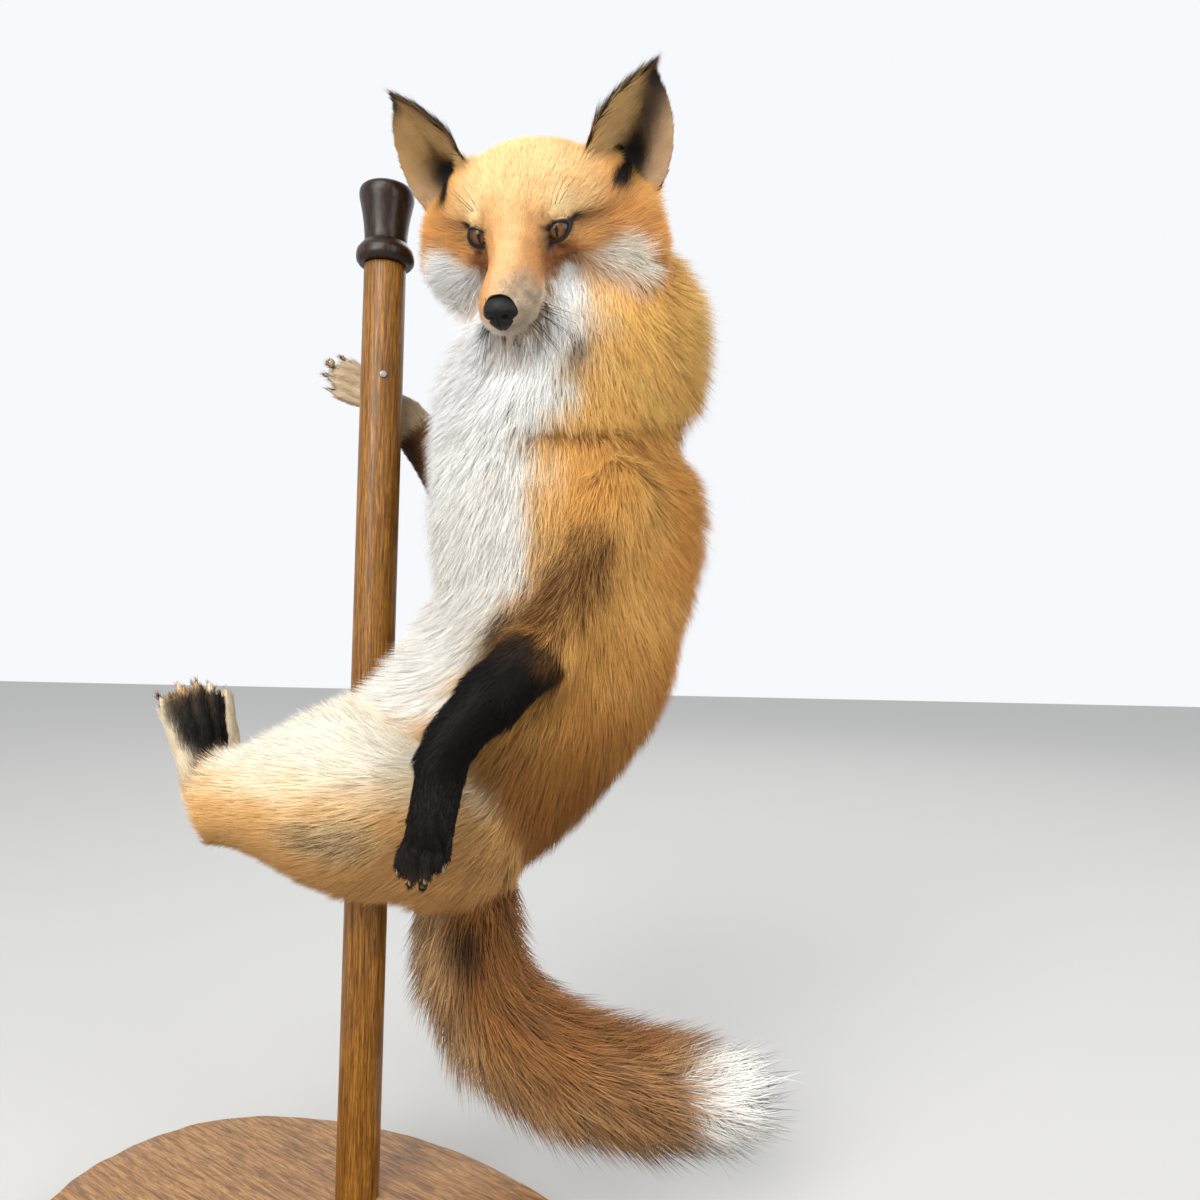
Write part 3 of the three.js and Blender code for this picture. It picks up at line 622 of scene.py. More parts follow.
outer_side = step(0.6 * (395 - z) - 123 - x + 2.5 * middling, 2) * step(z - 345, 5)
marked(hindfoot * outer_side, 228, 212, 182)
# Painted shade in the creases between the hind toes.
marked(hindfoot * crease * step(z - 398, 4) * 0.5, 120, 100, 78)

# The tail: tan beneath, brown down its back, a white tag.
tail = node_mask(*TAIL_PARTS)
marked(tail, 182, 124, 68)
marked(tail * step(-10 - (x - tail_line[:, 0] / MM) + 8 * broad, 7), 224, 186, 136)
marked(tail * step(0.2 * broad + 0.5 * middling, 0.25) * 0.85, 122, 82, 50)
# A dark patch near the tail's root: partly the fox's dark gland patch, partly painted shade where the
# tail hangs under the rump.
gland_patch_and_shade = spot((x, z), (79, 228), (13, 20)) * step(tail_line[:, 1] / MM - 4 - y, 8)
marked(tail * gland_patch_and_shade * 1.3, 56, 42, 34)
dark_tips += tail * 0.28
tag = tail * step(tail_share - 0.80 + 0.02 * middling, 0.012)
marked(tag, 240, 238, 232)
dark_tips *= 1 - tag

# The face: a gold forehead, a red-brown patch under each eye, white cheeks and lips, and painted shade
# beside the eyes.
face = node_mask("head", "muzzle", "lower_jaw", rounds=4)
marked(face, 212, 150, 82)
marked(face * step(forward + 62 - 10 * broad, 12) * step(up - 2, 8), 236, 202, 146)
marked(spot((x, y, z), (155, -62, 672), (9, 16, 14)) * 1.3, 66, 56, 52)
marked(face * step(beside - 50 + 6 * middling, 7) * step(forward + 70, 10), 208, 146, 80)
marked(face * step(16 - beside, 4) * step(forward + 8, 9), 226, 184, 128)
muzzle_side = face * step(forward - 12, 6)
marked(muzzle_side * step(beside - 10, 3), 196, 134, 76)
on_face = (beside, forward, up)
from_patch = ((beside - 28) / 14.5) ** 2 + ((forward - 10) / 20) ** 2 + ((up + 16) / 10) ** 2
marked(face * np.clip(np.exp(-from_patch ** 1.5) * 1.6, 0, 1), 146, 90, 46)
# Next to the eye the red-brown patch is darker: partly its own rust colour, partly painted shade where
# the bare skin has no hair to shade it.
marked(face * np.clip(spot(on_face, (25, 10, -10), (8, 12, 7)) * 1.2, 0, 1), 118, 70, 36)
WHITE_CHEEK = ((18, -29), (24, -26), (30, -27), (43, -23), (58, -15), (72, -13), (82, -20), (89, -34),
               (95, -60))
white_edge = np.interp(beside, *zip(*WHITE_CHEEK)) - 3 * (left < 0)
under_cheek = step(white_edge - up + 2.5 * middling, 2.2)
marked(face * under_cheek * step(beside - 18, 3), 250, 240, 224)
in_front_of_ear = step(forward + 48 + 5 * middling, 5)
marked(face * under_cheek * step(-10 - left, 8) * in_front_of_ear, 242, 242, 240)
marked(face * (1 - in_front_of_ear) * step(beside - 20, 8), 226, 172, 100)
marked(muzzle_side * step(-33 - up + 2 * fine, 3), 226, 214, 198)
grey = muzzle_side * step(forward - 44 + 3 * fine, 4)
grey *= step(left + 2 + 2 * middling, 3) * step(-8 - up, 3)
marked(grey, 188, 168, 142)
marked(grey * step(fine - 0.1, 0.2) * 0.7, 118, 100, 82)
marked(muzzle_side * step(forward - 60, 3) * step(-40 - up, 3), 214, 206, 196)
dark_tips += grey * 0.3
behind_eye = spot((up,), (3.5,), (3.4,)) * step(beside - 38, 2) * step(66 - beside, 6)
behind_eye *= step(forward + 32, 4)
marked(face * behind_eye * 0.75, 132, 84, 46)
marked(face * np.clip(spot(on_face, (31, 1, 17), (8, 10, 6)) * 1.2, 0, 1), 244, 214, 160)
marked(step(1.30 + 0.24 * lid_corner ** 2 - lid_edge, 0.05), 13, 10, 9)
# The dark inner corner of each eye and its tear line: black skin, with painted shade of the brow over
# it.
marked(face * np.clip(spot(on_face, (18.5, 9, -3), (3.6, 9, 6.5)) * 1.8, 0, 1), 24, 18, 16)
outer_corner = spot((beside, up), (40, 6), (5, 2.6)) * step(forward + 14, 3)
marked(face * np.clip(outer_corner * 1.4, 0, 1), 34, 24, 20)

# The ears: black backs and rims, dark hollows deepened with painted shade, pale hair along the inner
# edge.
ears = node_mask(*EARS, rounds=2)
DARK_EAR = (26, 22, 22)
faces_ahead = normals @ (FORWARD * 0.93) + np.sign(left) * (normals @ LEFT) * 0.36
ear_front = ears * step(faces_ahead, 0.05)
marked(ears, 200, 132, 66)
marked((ears - ear_front) * step(ear_up - 0.34 + 0.06 * middling, 0.05), *DARK_EAR)
marked(ear_front, 62, 42, 30)
marked(ear_front * step(0.66 - ear_up, 0.08) * step(ear_across + 5, 3), 20, 12, 9)
marked(ear_front * step(-5 - ear_across + 2 * middling, 2.5), 206, 168, 112)
marked(ear_front * step(ear_across - 15, 3), 196, 162, 124)
marked(ear_front * (left < 0) * step(ear_up - 0.42, 0.06), 186, 148, 96)
marked(ears * step(ear_up - 0.88 + 0.04 * fine, 0.03), *DARK_EAR)
marked(ear_front * step(0.14 - ear_up, 0.05) * step(-2 - ear_across, 4), 224, 176, 112)
# Painted shade deep in each ear's hollow, over its dark skin.
marked(spread(hollow_skin, 4) * step(ear_up - 0.14, 0.03) * step(ear_across + 3, 2) * 1.3, 22, 13, 9)

# The hair stands loose along the top of the thigh, on the belly and down the nape.
loose = thigh * step(z - 352, 5) + node_mask("belly", "rump") * step(70 - turned, 10)
loose = np.clip(loose + 0.4 * node_mask("neck", "chest") * step(turned - 90, 10), 0, 1)

fur *= (1 + 0.09 * fine + 0.07 * middling)[:, None]
fur = np.clip(fur, 0.002, 0.95)


def put_colours(piece, colours):
    """Stores a colour for each vertex, for the hair's material."""
    layer = piece.data.color_attributes.new(name="coat", type="FLOAT_COLOR", domain="POINT")
    full = np.ones((len(colours), 4))
    full[:, :3] = colours
    layer.data.foreach_set("color", full.reshape(-1))


# The skin is painted a little darker than the hair over it, as painted shade under the coat.
SKIN_PAINTED_SHADE = 0.95
put_colours(skin, fur * SKIN_PAINTED_SHADE)


def set_inputs(node, values):
    """Sets a node's inputs by name, with _ for each space."""
    for name, value in values.items():
        node.inputs[name.replace("_", " ")].default_value = value


def new_material(name, **inputs):
    """A material and its shader."""
    material = bpy.data.materials.new(name)
    material.use_nodes = True
    shader = material.node_tree.nodes["Principled BSDF"]
    set_inputs(shader, inputs)
    return material, shader


def pattern(shader, kind, scale, position=(0, 0, 0), turn=(0, 0, 0), **inputs):
    """A pattern node on Object coordinates, with a Mapping node that centres and scales it."""
    tree = shader.id_data
    place = tree.nodes.new("ShaderNodeTexCoord")
    mapping = tree.nodes.new("ShaderNodeMapping")
    mapping.vector_type = "TEXTURE"
    set_inputs(mapping, {"Location": position, "Rotation": turn, "Scale": scale})
    tree.links.new(place.outputs["Object"], mapping.inputs["Vector"])
    node = tree.nodes.new(kind)
    tree.links.new(mapping.outputs["Vector"], node.inputs["Vector"])
    set_inputs(node, inputs)
    return node


def noise_in(shader, scale, *placed, **inputs):
    """The value of a noise pattern, whose grains are about scale metres."""
    return pattern(shader, "ShaderNodeTexNoise", scale, *placed, **inputs).outputs["Fac"]


def ramp(source, *stops):
    """Turns a value into a colour: stops are (value, colour)."""
    tree = source.id_data
    node = tree.nodes.new("ShaderNodeValToRGB")
    while len(node.color_ramp.elements) < len(stops):
        node.color_ramp.elements.new(0.5)
    for element, (value, colour) in zip(node.color_ramp.elements, stops):
        element.position = value
        element.color = (*colour, 1)
    tree.links.new(source, node.inputs["Fac"])
    return node.outputs["Color"]


def times(first, second):
    """Multiplies two colours."""
    tree = first.id_data
    node = tree.nodes.new("ShaderNodeMix")
    node.data_type = "RGBA"
    node.blend_type = "MULTIPLY"
    node.inputs[0].default_value = 1
    tree.links.new(first, node.inputs[6])
    tree.links.new(second, node.inputs[7])
    return node.outputs[2]


def coloured(shader, colour):
    """Leads a colour to the shader."""
    shader.id_data.links.new(colour, shader.inputs["Base Color"])


def bump(shader, source, strength, distance):
    """Lets a value raise and dent the surface in the light."""
    node = shader.id_data.nodes.new("ShaderNodeBump")
    set_inputs(node, {"Strength": strength, "Distance": distance})
    node.id_data.links.new(source, node.inputs["Height"])
    node.id_data.links.new(node.outputs["Normal"], shader.inputs["Normal"])


def coat_colour(shader):
    """The colours that a piece's vertices carry."""
    marking = shader.id_data.nodes.new("ShaderNodeVertexColor")
    marking.layer_name = "coat"
    return marking.outputs["Color"]


WHITE = (1, 1, 1)
skin_paint, shader = new_material("skin with its short fur", Roughness=0.62, Specular_IOR_Level=0.3)
strands = noise_in(shader, (0.0011, 0.0011, 0.0011), Detail=3)
coloured(shader, times(coat_colour(shader), ramp(strands, (0.3, (0.62, 0.60, 0.58)), (0.7, WHITE))))
bump(shader, strands, 0.6, 0.0006)
skin.data.materials.append(skin_paint)
skin.data.shade_smooth()

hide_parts(*FLESH)
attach(skin, "root")

# ---- The coat ----
# The fox's own hair, left on the hide and combed along the body. Each lock is a tapered tuft
# that is rooted just under the skin and bends over towards its tip.
ROOT_SINK = 0.5 * MM
# The most locks that one piece holds, and the fewest that are worth a piece.
PIECE_LOCKS_BENT = 19000
PIECE_LOCKS_STRAIGHT = 47000
FEWEST_LOCKS = 60
PATCH = 0.003                      # how much of the skin's unwrap each lock takes up
CLUMP = 14                         # one lock in this many draws its neighbours' tips to its own
CLUMPING = 0.52
ROOT_TONE, MIDDLE_TONE, TIP_TONE = 0.92, 0.94, 1.12
GUARD_TIP = 0.42                   # how dark a guard hair's tip is beside the rest of it
DARK_LOCK = (0.32, 0.25, 0.19)
draws = np.random.default_rng(20)
corner_places = places[triangles]
areas = np.linalg.norm(np.cross(
    corner_places[:, 1] - corner_places[:, 0],
    corner_places[:, 2] - corner_places[:, 0],
), axis=1) / 2
face_sizes = sizes[triangles].mean(axis=1)
face_nodes = node_of[triangles[:, 0]]
stand = spread(np.linalg.norm(form_at - places, axis=1), 4)

# No hair grows on the lids' rims, or on the skin that is tucked in behind the glass.
outwards = np.ones(count)
head_normals = normals @ HEAD_AXES.T
for side in (1, -1):
    away = in_head(places) - eye_axes(side)[0]
    reach = np.linalg.norm(away, axis=1)
    squarely = (away * head_normals).sum(axis=1) / reach
    outwards = np.where((reach < 17) & (squarely < 0.25), 0, outwards)
bare = ((lid_edge < BARE_RIM) | (outwards < 0.5))[triangles].any(axis=1)
THIRDS = np.arange(3) * 2 * math.pi / 3


def unit(vectors):
    """Vectors brought to a length of 1."""
    return vectors / np.maximum(np.linalg.norm(vectors, axis=-1, keepdims=True), 1e-9)


def grown(name, faces, bent):
    """Grows a coat piece from these faces of the skin: three-sided locks that taper to a tip.
    Bent locks have a joint halfway, where they turn down towards the skin."""
    # Where each lock is rooted, its size, and how far its tip stands off the skin.
    wanted = areas[faces] / (face_sizes[faces, 3] * MM * MM)
    total = int(wanted.sum())
    ladder = np.cumsum(wanted) / wanted.sum()
    picks = (np.arange(total) + draws.random(total)) / total
    chosen = faces[np.minimum(np.searchsorted(ladder, picks), len(faces) - 1)]
    first = np.sqrt(draws.random(total))
    second = draws.random(total)
    shares = np.stack((1 - first, first * (1 - second), first * second), axis=1)[:, :, None]
    own = triangles[chosen]

    def at_root(values):
        return (values[own] * shares).sum(axis=1)

    normal = unit(at_root(normals))
    root = at_root(places) - normal * ROOT_SINK
    size = at_root(sizes)
    length = size[:, 1] * MM * (0.72 + 0.5 * draws.random(total))
    width = size[:, 2] * MM * (0.75 + 0.5 * draws.random(total))
    lift = np.clip(at_root(stand[:, None])[:, 0] / length, 0.06, 0.85)
    lift *= 0.70 + 0.60 * draws.random(total)
    lift = np.clip(lift + at_root(loose[:, None])[:, 0] * 0.5 * draws.random(total), 0, 0.9)
    # It lies along the coat's flow, a little astray, and stands up more at its root.
    flow = at_root(lie)
    flow -= normal * (flow * normal).sum(axis=1, keepdims=True)
    flow /= np.linalg.norm(flow, axis=1, keepdims=True) + 0.12
    flow += np.cross(normal, flow) * draws.normal(0, 0.16, total)[:, None]
    rise = np.clip(lift * 1.35, 0, 0.97)[:, None]
    settle = np.clip(lift * 0.65, 0, 0.9)[:, None]
    first_way = unit(flow * np.sqrt(1 - rise ** 2) + normal * rise)
    second_way = unit(flow * np.sqrt(1 - settle ** 2) + normal * settle)
    # Each lock has one colour, taken from one corner of its face, so that markings have crisp edges.
    picked = (shares[:, :, 0].cumsum(axis=1) < draws.random(total)[:, None]).sum(axis=1).clip(0, 2)
    corner = own[np.arange(total), picked]
    colour = fur[corner] * (1 + draws.normal(0, 0.07, total))[:, None]
    darkened = (draws.random(total) < dark_locks[corner])[:, None]
    colour *= np.where(darkened, DARK_LOCK, 1)
    dark = draws.random(total) < dark_tips[corner]
    patch = (skin_uv[chosen] * shares).sum(axis=1)
    # The tips of neighbours draw together into clumps.
    leaders = np.arange(0, total, CLUMP)
    tree = KDTree(len(leaders))
    for leader in leaders:
        tree.insert(root[leader], leader)
    tree.balance()
    follows = np.array([tree.find(p)[1] for p in root])
    pull = draws.random(total)[:, None]
    if bent:
        middle = root + first_way * length[:, None] * 0.5
        tip = middle + second_way * length[:, None] * 0.5
        middle += 0.15 * pull * (middle[follows] - middle)
    else:
        way = unit(first_way + second_way)
        tip = root + way * length[:, None]
    tip += CLUMPING * pull * (tip[follows] - tip)
    # The lock's places ring by ring, with which way each faces and how light it is.
    side = unit(np.cross(first_way, normal + 1e-4))
    over = np.cross(side, first_way)
    turn = draws.random(total)[:, None] * 2.1 + THIRDS
    ring = (side[:, None] * np.cos(turn)[..., None] + over[:, None] * np.sin(turn)[..., None])
    half = width[:, None, None] / 2
    facing = unit(normal[:, None] + ring * 0.45)
    if bent:
        points = np.concatenate((root[:, None] + ring * half, middle[:, None] + ring * half * 0.8,
                                 tip[:, None]), axis=1)
        facings = np.concatenate((facing, facing, normal[:, None]), axis=1)
        tones = np.array([ROOT_TONE] * 3 + [MIDDLE_TONE] * 3 + [TIP_TONE])
        heights = np.array([0] * 3 + [0.5] * 3 + [1])
        shape = [(2, 1, 0)]
        for k in range(3):
            n = (k + 1) % 3
            shape += [(k, n, n + 3), (k, n + 3, k + 3), (k + 3, n + 3, 6)]
    else:
        points = np.concatenate((root[:, None] + ring * half, tip[:, None]), axis=1)
        facings = np.concatenate((facing, normal[:, None]), axis=1)
        tones = np.array([ROOT_TONE] * 3 + [TIP_TONE])
        heights = np.array([0] * 3 + [1])
        shape = [(2, 1, 0), (0, 1, 3), (1, 2, 3), (2, 0, 3)]
    each = points.shape[1]
    colours = colour[:, None] * tones[:, None]
    tipped = dark[:, None] * (heights > 0.4)
    colours = np.where(tipped[..., None], colours * GUARD_TIP, colours)
    # The faces of every lock are turned outwards, as the first lock shows.
    shape = np.array(shape)
    one, two, three = points[0, shape[1]]
    if np.cross(two - one, three - one) @ ((one + two + three) / 3 - root[0]) < 0:
        shape = shape[:, ::-1]
    corners = (shape[None] + (np.arange(total) * each)[:, None, None]).reshape(-1)
    mesh = bpy.data.meshes.new(name)
    mesh.vertices.add(total * each)
    mesh.vertices.foreach_set("co", points.reshape(-1))
    mesh.loops.add(len(corners))
    mesh.loops.foreach_set("vertex_index", corners)
    mesh.polygons.add(len(corners) // 3)
    mesh.polygons.foreach_set("loop_start", np.arange(0, len(corners), 3))
    mesh.update(calc_edges=True)
    on_patch = np.stack(([0, 0.5, 1] * (each // 3) + [0.5], heights), axis=1)
    unwrap = (patch[:, None] + (on_patch - 0.5) * PATCH).reshape(-1, 2)
    mesh.uv_layers.new(name="OFBake").data.foreach_set("uv", unwrap[corners].reshape(-1))
    piece = bpy.data.objects.new(name, mesh)
    bpy.context.scene.collection.objects.link(piece)
    put_colours(piece, np.clip(colours, 0.001, 1).reshape(-1, 3))
    mesh.normals_split_custom_set_from_vertices(facings.reshape(-1, 3))
    mesh.materials.append(hair_paint)
    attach(piece, "root")


hair_paint, shader = new_material("fox hair", Roughness=0.5, Specular_IOR_Level=0.12)
mottle = noise_in(shader, (0.004, 0.004, 0.012), Detail=2)
coloured(shader, times(coat_colour(shader), ramp(mottle, (0.3, (0.84, 0.82, 0.80)), (0.7, WHITE))))

# Each part's locks are one or more pieces. The tail's and the cheeks' long locks are bent ones.
on_tail_faces = np.isin(face_nodes, [FLESH.index(name) for name in TAIL_PARTS])
bent_faces = on_tail_faces | (face_nodes == FLESH.index("head")) & (face_sizes[:, 1] > 18)
for number, name in enumerate(FLESH):
    for kind, most in (("", PIECE_LOCKS_STRAIGHT), ("bent_", PIECE_LOCKS_BENT)):
        faces = np.flatnonzero((face_nodes == number) & ~bare & (bent_faces == (kind == "bent_")))
        locks = (areas[faces] / (face_sizes[faces, 3] * MM * MM)).sum()
        if locks < FEWEST_LOCKS:
            continue
        parts = math.ceil(locks / most)
        order = faces[np.argsort(places[triangles[faces, 0], 2])]
        for part, some in enumerate(np.array_split(order, parts)):
            label = f"coat_{kind}{name}_{part + 1}" if parts > 1 else f"coat_{kind}{name}"
            grown(label, some, kind == "bent_")

# ---- The eyes ----
# Each eye is a taxidermist's glass one: a ball with a painted amber iris and an upright slit
# pupil under clear glass. It is set in clay and held by the lids, and both look ahead together.
GLASS_RADIUS = EYE_RADIUS * MM
IRIS_RADIUS = 7.4 * MM
PUPIL = (1.05 * MM, 5.2 * MM)
GAZE = unit(np.array((0.10, 0.935, 0.34)) @ HEAD_AXES)


def finish_piece(piece, material, slot, *nodes_replaced):
    """Gives a piece its place at the origin, its material and its body, and hides the parts of the form
    that it stands in for.
    """
    only(piece)
    bpy.ops.object.transform_apply(location=True, rotation=True, scale=True)
    piece.data.materials.clear()
    piece.data.materials.append(material)
    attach(piece, "root")
    if nodes_replaced:
        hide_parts(*nodes_replaced)


def added(name, make, **settings):
    """A new piece, started as one of the basic shapes."""
    bpy.ops.object.select_all(action="DESELECT")
    make(**settings)
    piece = bpy.context.active_object
    piece.name = name
    return piece


eye_across = unit(np.cross(UPWARD, GAZE))
gaze_axes = Matrix(np.stack((eye_across, np.cross(GAZE, eye_across), GAZE), axis=1).tolist())
gaze_turn = gaze_axes.to_euler()
for side, which in ((1, "left"), (-1, "right")):
    middle = on_head(*eye_axes(side)[0])
    eye = added(f"glass_eye_{which}", bpy.ops.mesh.primitive_uv_sphere_add, segments=48,
                ring_count=32, radius=GLASS_RADIUS, location=middle)
    eye.data.shade_smooth()
    glass, shader = new_material(f"glass eye {which}", Roughness=0.2, Specular_IOR_Level=0.1,
                                 Coat_Weight=0.5, Coat_IOR=1.36, Coat_Roughness=0.02)
    from_edge = []                 # nought outside the iris or the slit, and 1 at its middle
    for reach in ((IRIS_RADIUS, IRIS_RADIUS, 1), (*PUPIL, 1)):
        gradient = pattern(shader, "ShaderNodeTexGradient", reach, middle, gaze_turn)
        gradient.gradient_type = "SPHERICAL"
        from_edge.append(gradient.outputs["Fac"])
    iris = ramp(
        from_edge[0],
        (0.0, paint(8, 6, 5)),
        (0.10, paint(20, 12, 8)),
        (0.24, paint(66, 38, 16)),
        (0.55, paint(112, 72, 34)),
        (0.85, paint(76, 46, 20)),
    )
    fleck = noise_in(shader, (0.0009, 0.0009, 0.0009), middle, gaze_turn, Detail=3)
    flecked = times(iris, ramp(fleck, (0.3, (0.55, 0.5, 0.45)), (0.65, WHITE)))
    coloured(shader, times(flecked, ramp(from_edge[1], (0.0, WHITE), (0.12, (0.01, 0.01, 0.01)))))
    finish_piece(eye, glass, "eye_glass", f"eye_{which}")

# ---- The nose ----
# The nose is cast and painted: bare, pebbled and black, with two nostrils that open to the
# sides and a groove down its middle. It is glued into the lips' skin.
NOSE_MIDDLE = np.array((0, 72, -26))
NOSE_RADII = np.array((12.0, 9.2, 12.6))
nose = added("nose_leather", bpy.ops.mesh.primitive_uv_sphere_add, segments=96, ring_count=64, radius=1)
ball = np.empty(len(nose.data.vertices) * 3)
nose.data.vertices.foreach_get("co", ball)
ball = ball.reshape(-1, 3)
shaped = ball * NOSE_RADII
shaped[:, 0] *= 1 - 0.42 * np.clip(-ball[:, 2], 0, 1) ** 1.3
shaped[:, 2] *= np.where(ball[:, 2] > 0, 0.84, 1)
n_left, _, n_up = shaped.T
outward_and_up = (np.abs(n_left), n_up)
in_front = np.clip(ball[:, 1] * 2, 0, 1)
# The nostrils, the slits that open from them to the sides, the groove and the swells over them.
dents = 3.6 * spot(outward_and_up, (5.4, -1.2), (2.3, 2.2)) * in_front
dents += 1.8 * spot(outward_and_up, (9.0, -3.6), (2.8, 1.0))
dents += 0.9 * spot((n_left,), (0,), (0.7,)) * in_front * np.clip(1 - n_up / 5, 0, 1)
swells = 0.7 * spot(outward_and_up, (6.5, 3.4), (3.4, 2.6)) * in_front
shaped *= (1 - (dents - swells) / np.linalg.norm(shaped, axis=1))[:, None]
nose.data.vertices.foreach_set("co", (HEAD_AT + (NOSE_MIDDLE + shaped) * MM @ HEAD_AXES).reshape(-1))
nose.data.shade_smooth()
leather, shader = new_material("nose leather", Roughness=0.34, Specular_IOR_Level=0.15,
                               Coat_Weight=0.08, Coat_Roughness=0.2)
pebbles = pattern(shader, "ShaderNodeTexVoronoi", (0.0009, 0.0009, 0.0009))
worn = noise_in(shader, (0.004, 0.004, 0.004), Detail=4)
coloured(shader, ramp(worn, (0.35, paint(5, 5, 5)), (0.7, paint(14, 12, 12))))
bump(shader, pebbles.outputs["Distance"], 0.35, 0.0004)
finish_piece(nose, leather, "nose_black", "nose")

# ---- The claws ----
# Each foot keeps its four horn claws, blunt and a little hooked, dark at the root and paler
# at the point. They stand out of the toes' hair.
CLAW_SIDES = 10
CLAW_RADII = np.array((2.1, 1.9, 1.5, 1.0, 0.3)) * MM
claw_paths = []


def swept(path, radii, sides):
    """The places and faces of a tapering rod along a bent line, closed at both ends."""
    path = np.array(path, dtype=float)
    headings = unit(np.gradient(path, axis=0))
    helper = np.array((0.31, 0.17, 0.93))
    around = np.arange(sides) * 2 * math.pi / sides
    rings = []
    for place, heading, radius in zip(path, headings, radii):
        one = unit(np.cross(heading, helper))
        two = np.cross(heading, one)
        rings.append(place + radius * (np.cos(around)[:, None] * one + np.sin(around)[:, None] * two))
    faces = [tuple(range(sides))[::-1]]
    for ring in range(len(path) - 1):
        for k in range(sides):
            n = (k + 1) % sides
            low, high = ring * sides, (ring + 1) * sides
            faces.append((low + k, low + n, high + n, high + k))
    faces.append(tuple(range((len(path) - 1) * sides, len(path) * sides)))
    return np.concatenate(rings), faces


def rods(name, paths, radii, sides):
    """One piece of many rods, with their faces turned outwards."""
    all_places, all_faces, offset = [], [], 0
    for path, radius in zip(paths, radii):
        rod_places, rod_faces = swept(path, radius, sides)
        all_places.append(rod_places)
        all_faces += [tuple(corner + offset for corner in face) for face in rod_faces]
        offset += len(rod_places)
    piece = new_mesh_object(name, np.concatenate(all_places), all_faces)
    worked(piece, lambda: bpy.ops.mesh.normals_make_consistent(inside=False))
    piece.data.shade_smooth()
    return piece


for foot, knuckle, tip, across_toes, to_pads, apart, toe_radius, claw_length in FEET:
    knuckle, tip = np.array(knuckle, dtype=float), np.array(tip, dtype=float)
    across_toes, to_pads = unit(np.array(across_toes, dtype=float)), unit(np.array(to_pads, dtype=float))
    for toe in range(4):
        place = (toe - 1.5) * apart
        shorter = 0.28 if toe in (0, 3) else 0
        root = knuckle + across_toes * place * 0.72
        end = tip + (knuckle - tip) * shorter + across_toes * place
        onward = unit(end - root)
        nail = end + onward * toe_radius * 0.35 + to_pads * toe_radius * 0.1
        claw_paths.append([
            (nail + onward * claw_length * t * 1.1 + to_pads * claw_length * 0.55 * t ** 2) * MM
            for t in (0, 0.25, 0.5, 0.75, 1)
        ])
claws = rods("claws", claw_paths, [CLAW_RADII] * len(claw_paths), CLAW_SIDES)
horn, shader = new_material("claw horn", Roughness=0.35)
streaks = noise_in(shader, (0.0012, 0.0012, 0.004), Detail=3)
coloured(shader, ramp(streaks, (0.3, paint(120, 98, 74)), (0.6, paint(204, 186, 158))))
bump(shader, streaks, 0.2, 0.0003)
finish_piece(claws, horn, "claw_horn")

# ---- The whiskers ----
# Long black whiskers stand in rows on both lips, with a few over the eyes. They are the fox's
# own, springy and tapering, and the longest droop.
WHISKER_ROOT = 0.32
BROW_WHISKER_ROOT = 0.24
BROW_WHISKER = 24
whisker_paths, whisker_radii = [], []


def add_whisker(root, way, reach, droop, root_radius, joints):
    """Adds a whisker that sets out one way from its root and bends towards droop."""
    shares = np.linspace(0, 1, joints)[:, None]
    line = root + way * reach * shares + np.array(droop) * reach * shares ** 2
    whisker_paths.append(HEAD_AT + line * MM @ HEAD_AXES)
    whisker_radii.append(root_radius * (1 - 0.85 * shares[:, 0]) * MM)


for side in (1, -1):
    for row in range(3):
        for place in range(5):
            root = np.array((side * (9.5 + 1.6 * row + 0.6 * place), 62 - 5 * place, -30 - 3.4 * row))
            way = np.array((side * (0.55 + 0.10 * place), 0.30 - 0.16 * place, -0.50 - 0.14 * row))
            way = unit(way + draws.normal(0, 0.17, 3))
            if side < 0:
                way = unit(way + np.array((0.02, 0.10, -0.50)))
            reach = (32 + 7 * place - 3 * row) * (0.8 + 0.4 * draws.random()) * (1.3 if side < 0 else 1)
            add_whisker(root, way, reach, (0, -0.10, -0.22), WHISKER_ROOT, 9)
    for brow in range(3):
        root = np.array((side * (25 + 3 * brow), 2 - brow, 15 + brow))
        way = unit(np.array((side * (0.25 + 0.2 * brow), 0.25, 0.9)) + draws.normal(0, 0.05, 3))
        add_whisker(root, way, BROW_WHISKER, (side * 0.2, -0.35, 0), BROW_WHISKER_ROOT, 7)
whiskers = rods("whiskers", whisker_paths, whisker_radii, 5)
bristle, shader = new_material("whisker hair", Roughness=0.4)
along_whisker = noise_in(shader, (0.006, 0.006, 0.006))
coloured(shader, ramp(along_whisker, (0.3, paint(18, 16, 16)), (0.7, paint(44, 38, 34))))
finish_piece(whiskers, bristle, "coat_black")

# ---- The pole ----
# A straight pole of soft wood, stained brown and lacquered. It was planed round by hand, so
# faint flats run down it, and it stands in a socket bored in the slab.
POLE_RADIUS = 16 * MM
POLE_FOOT = 38.3 * MM
POLE_TOP = 738.7 * MM
PLANED = 0.010            # how far the flats lie in, as a share of the radius
LATHE_SIDES = 96


def drawn_up(rings):
    """Draws a disc up through rings of (radius, height), the first of which it already is."""
    for (radius, height), (wide, high) in zip(rings, rings[1:]):
        bpy.ops.mesh.extrude_region_move(TRANSFORM_OT_translate={"value": (0, 0, high - height)})
        bpy.ops.transform.resize(value=(wide / radius, wide / radius, 1), center_override=(0, 0, high))


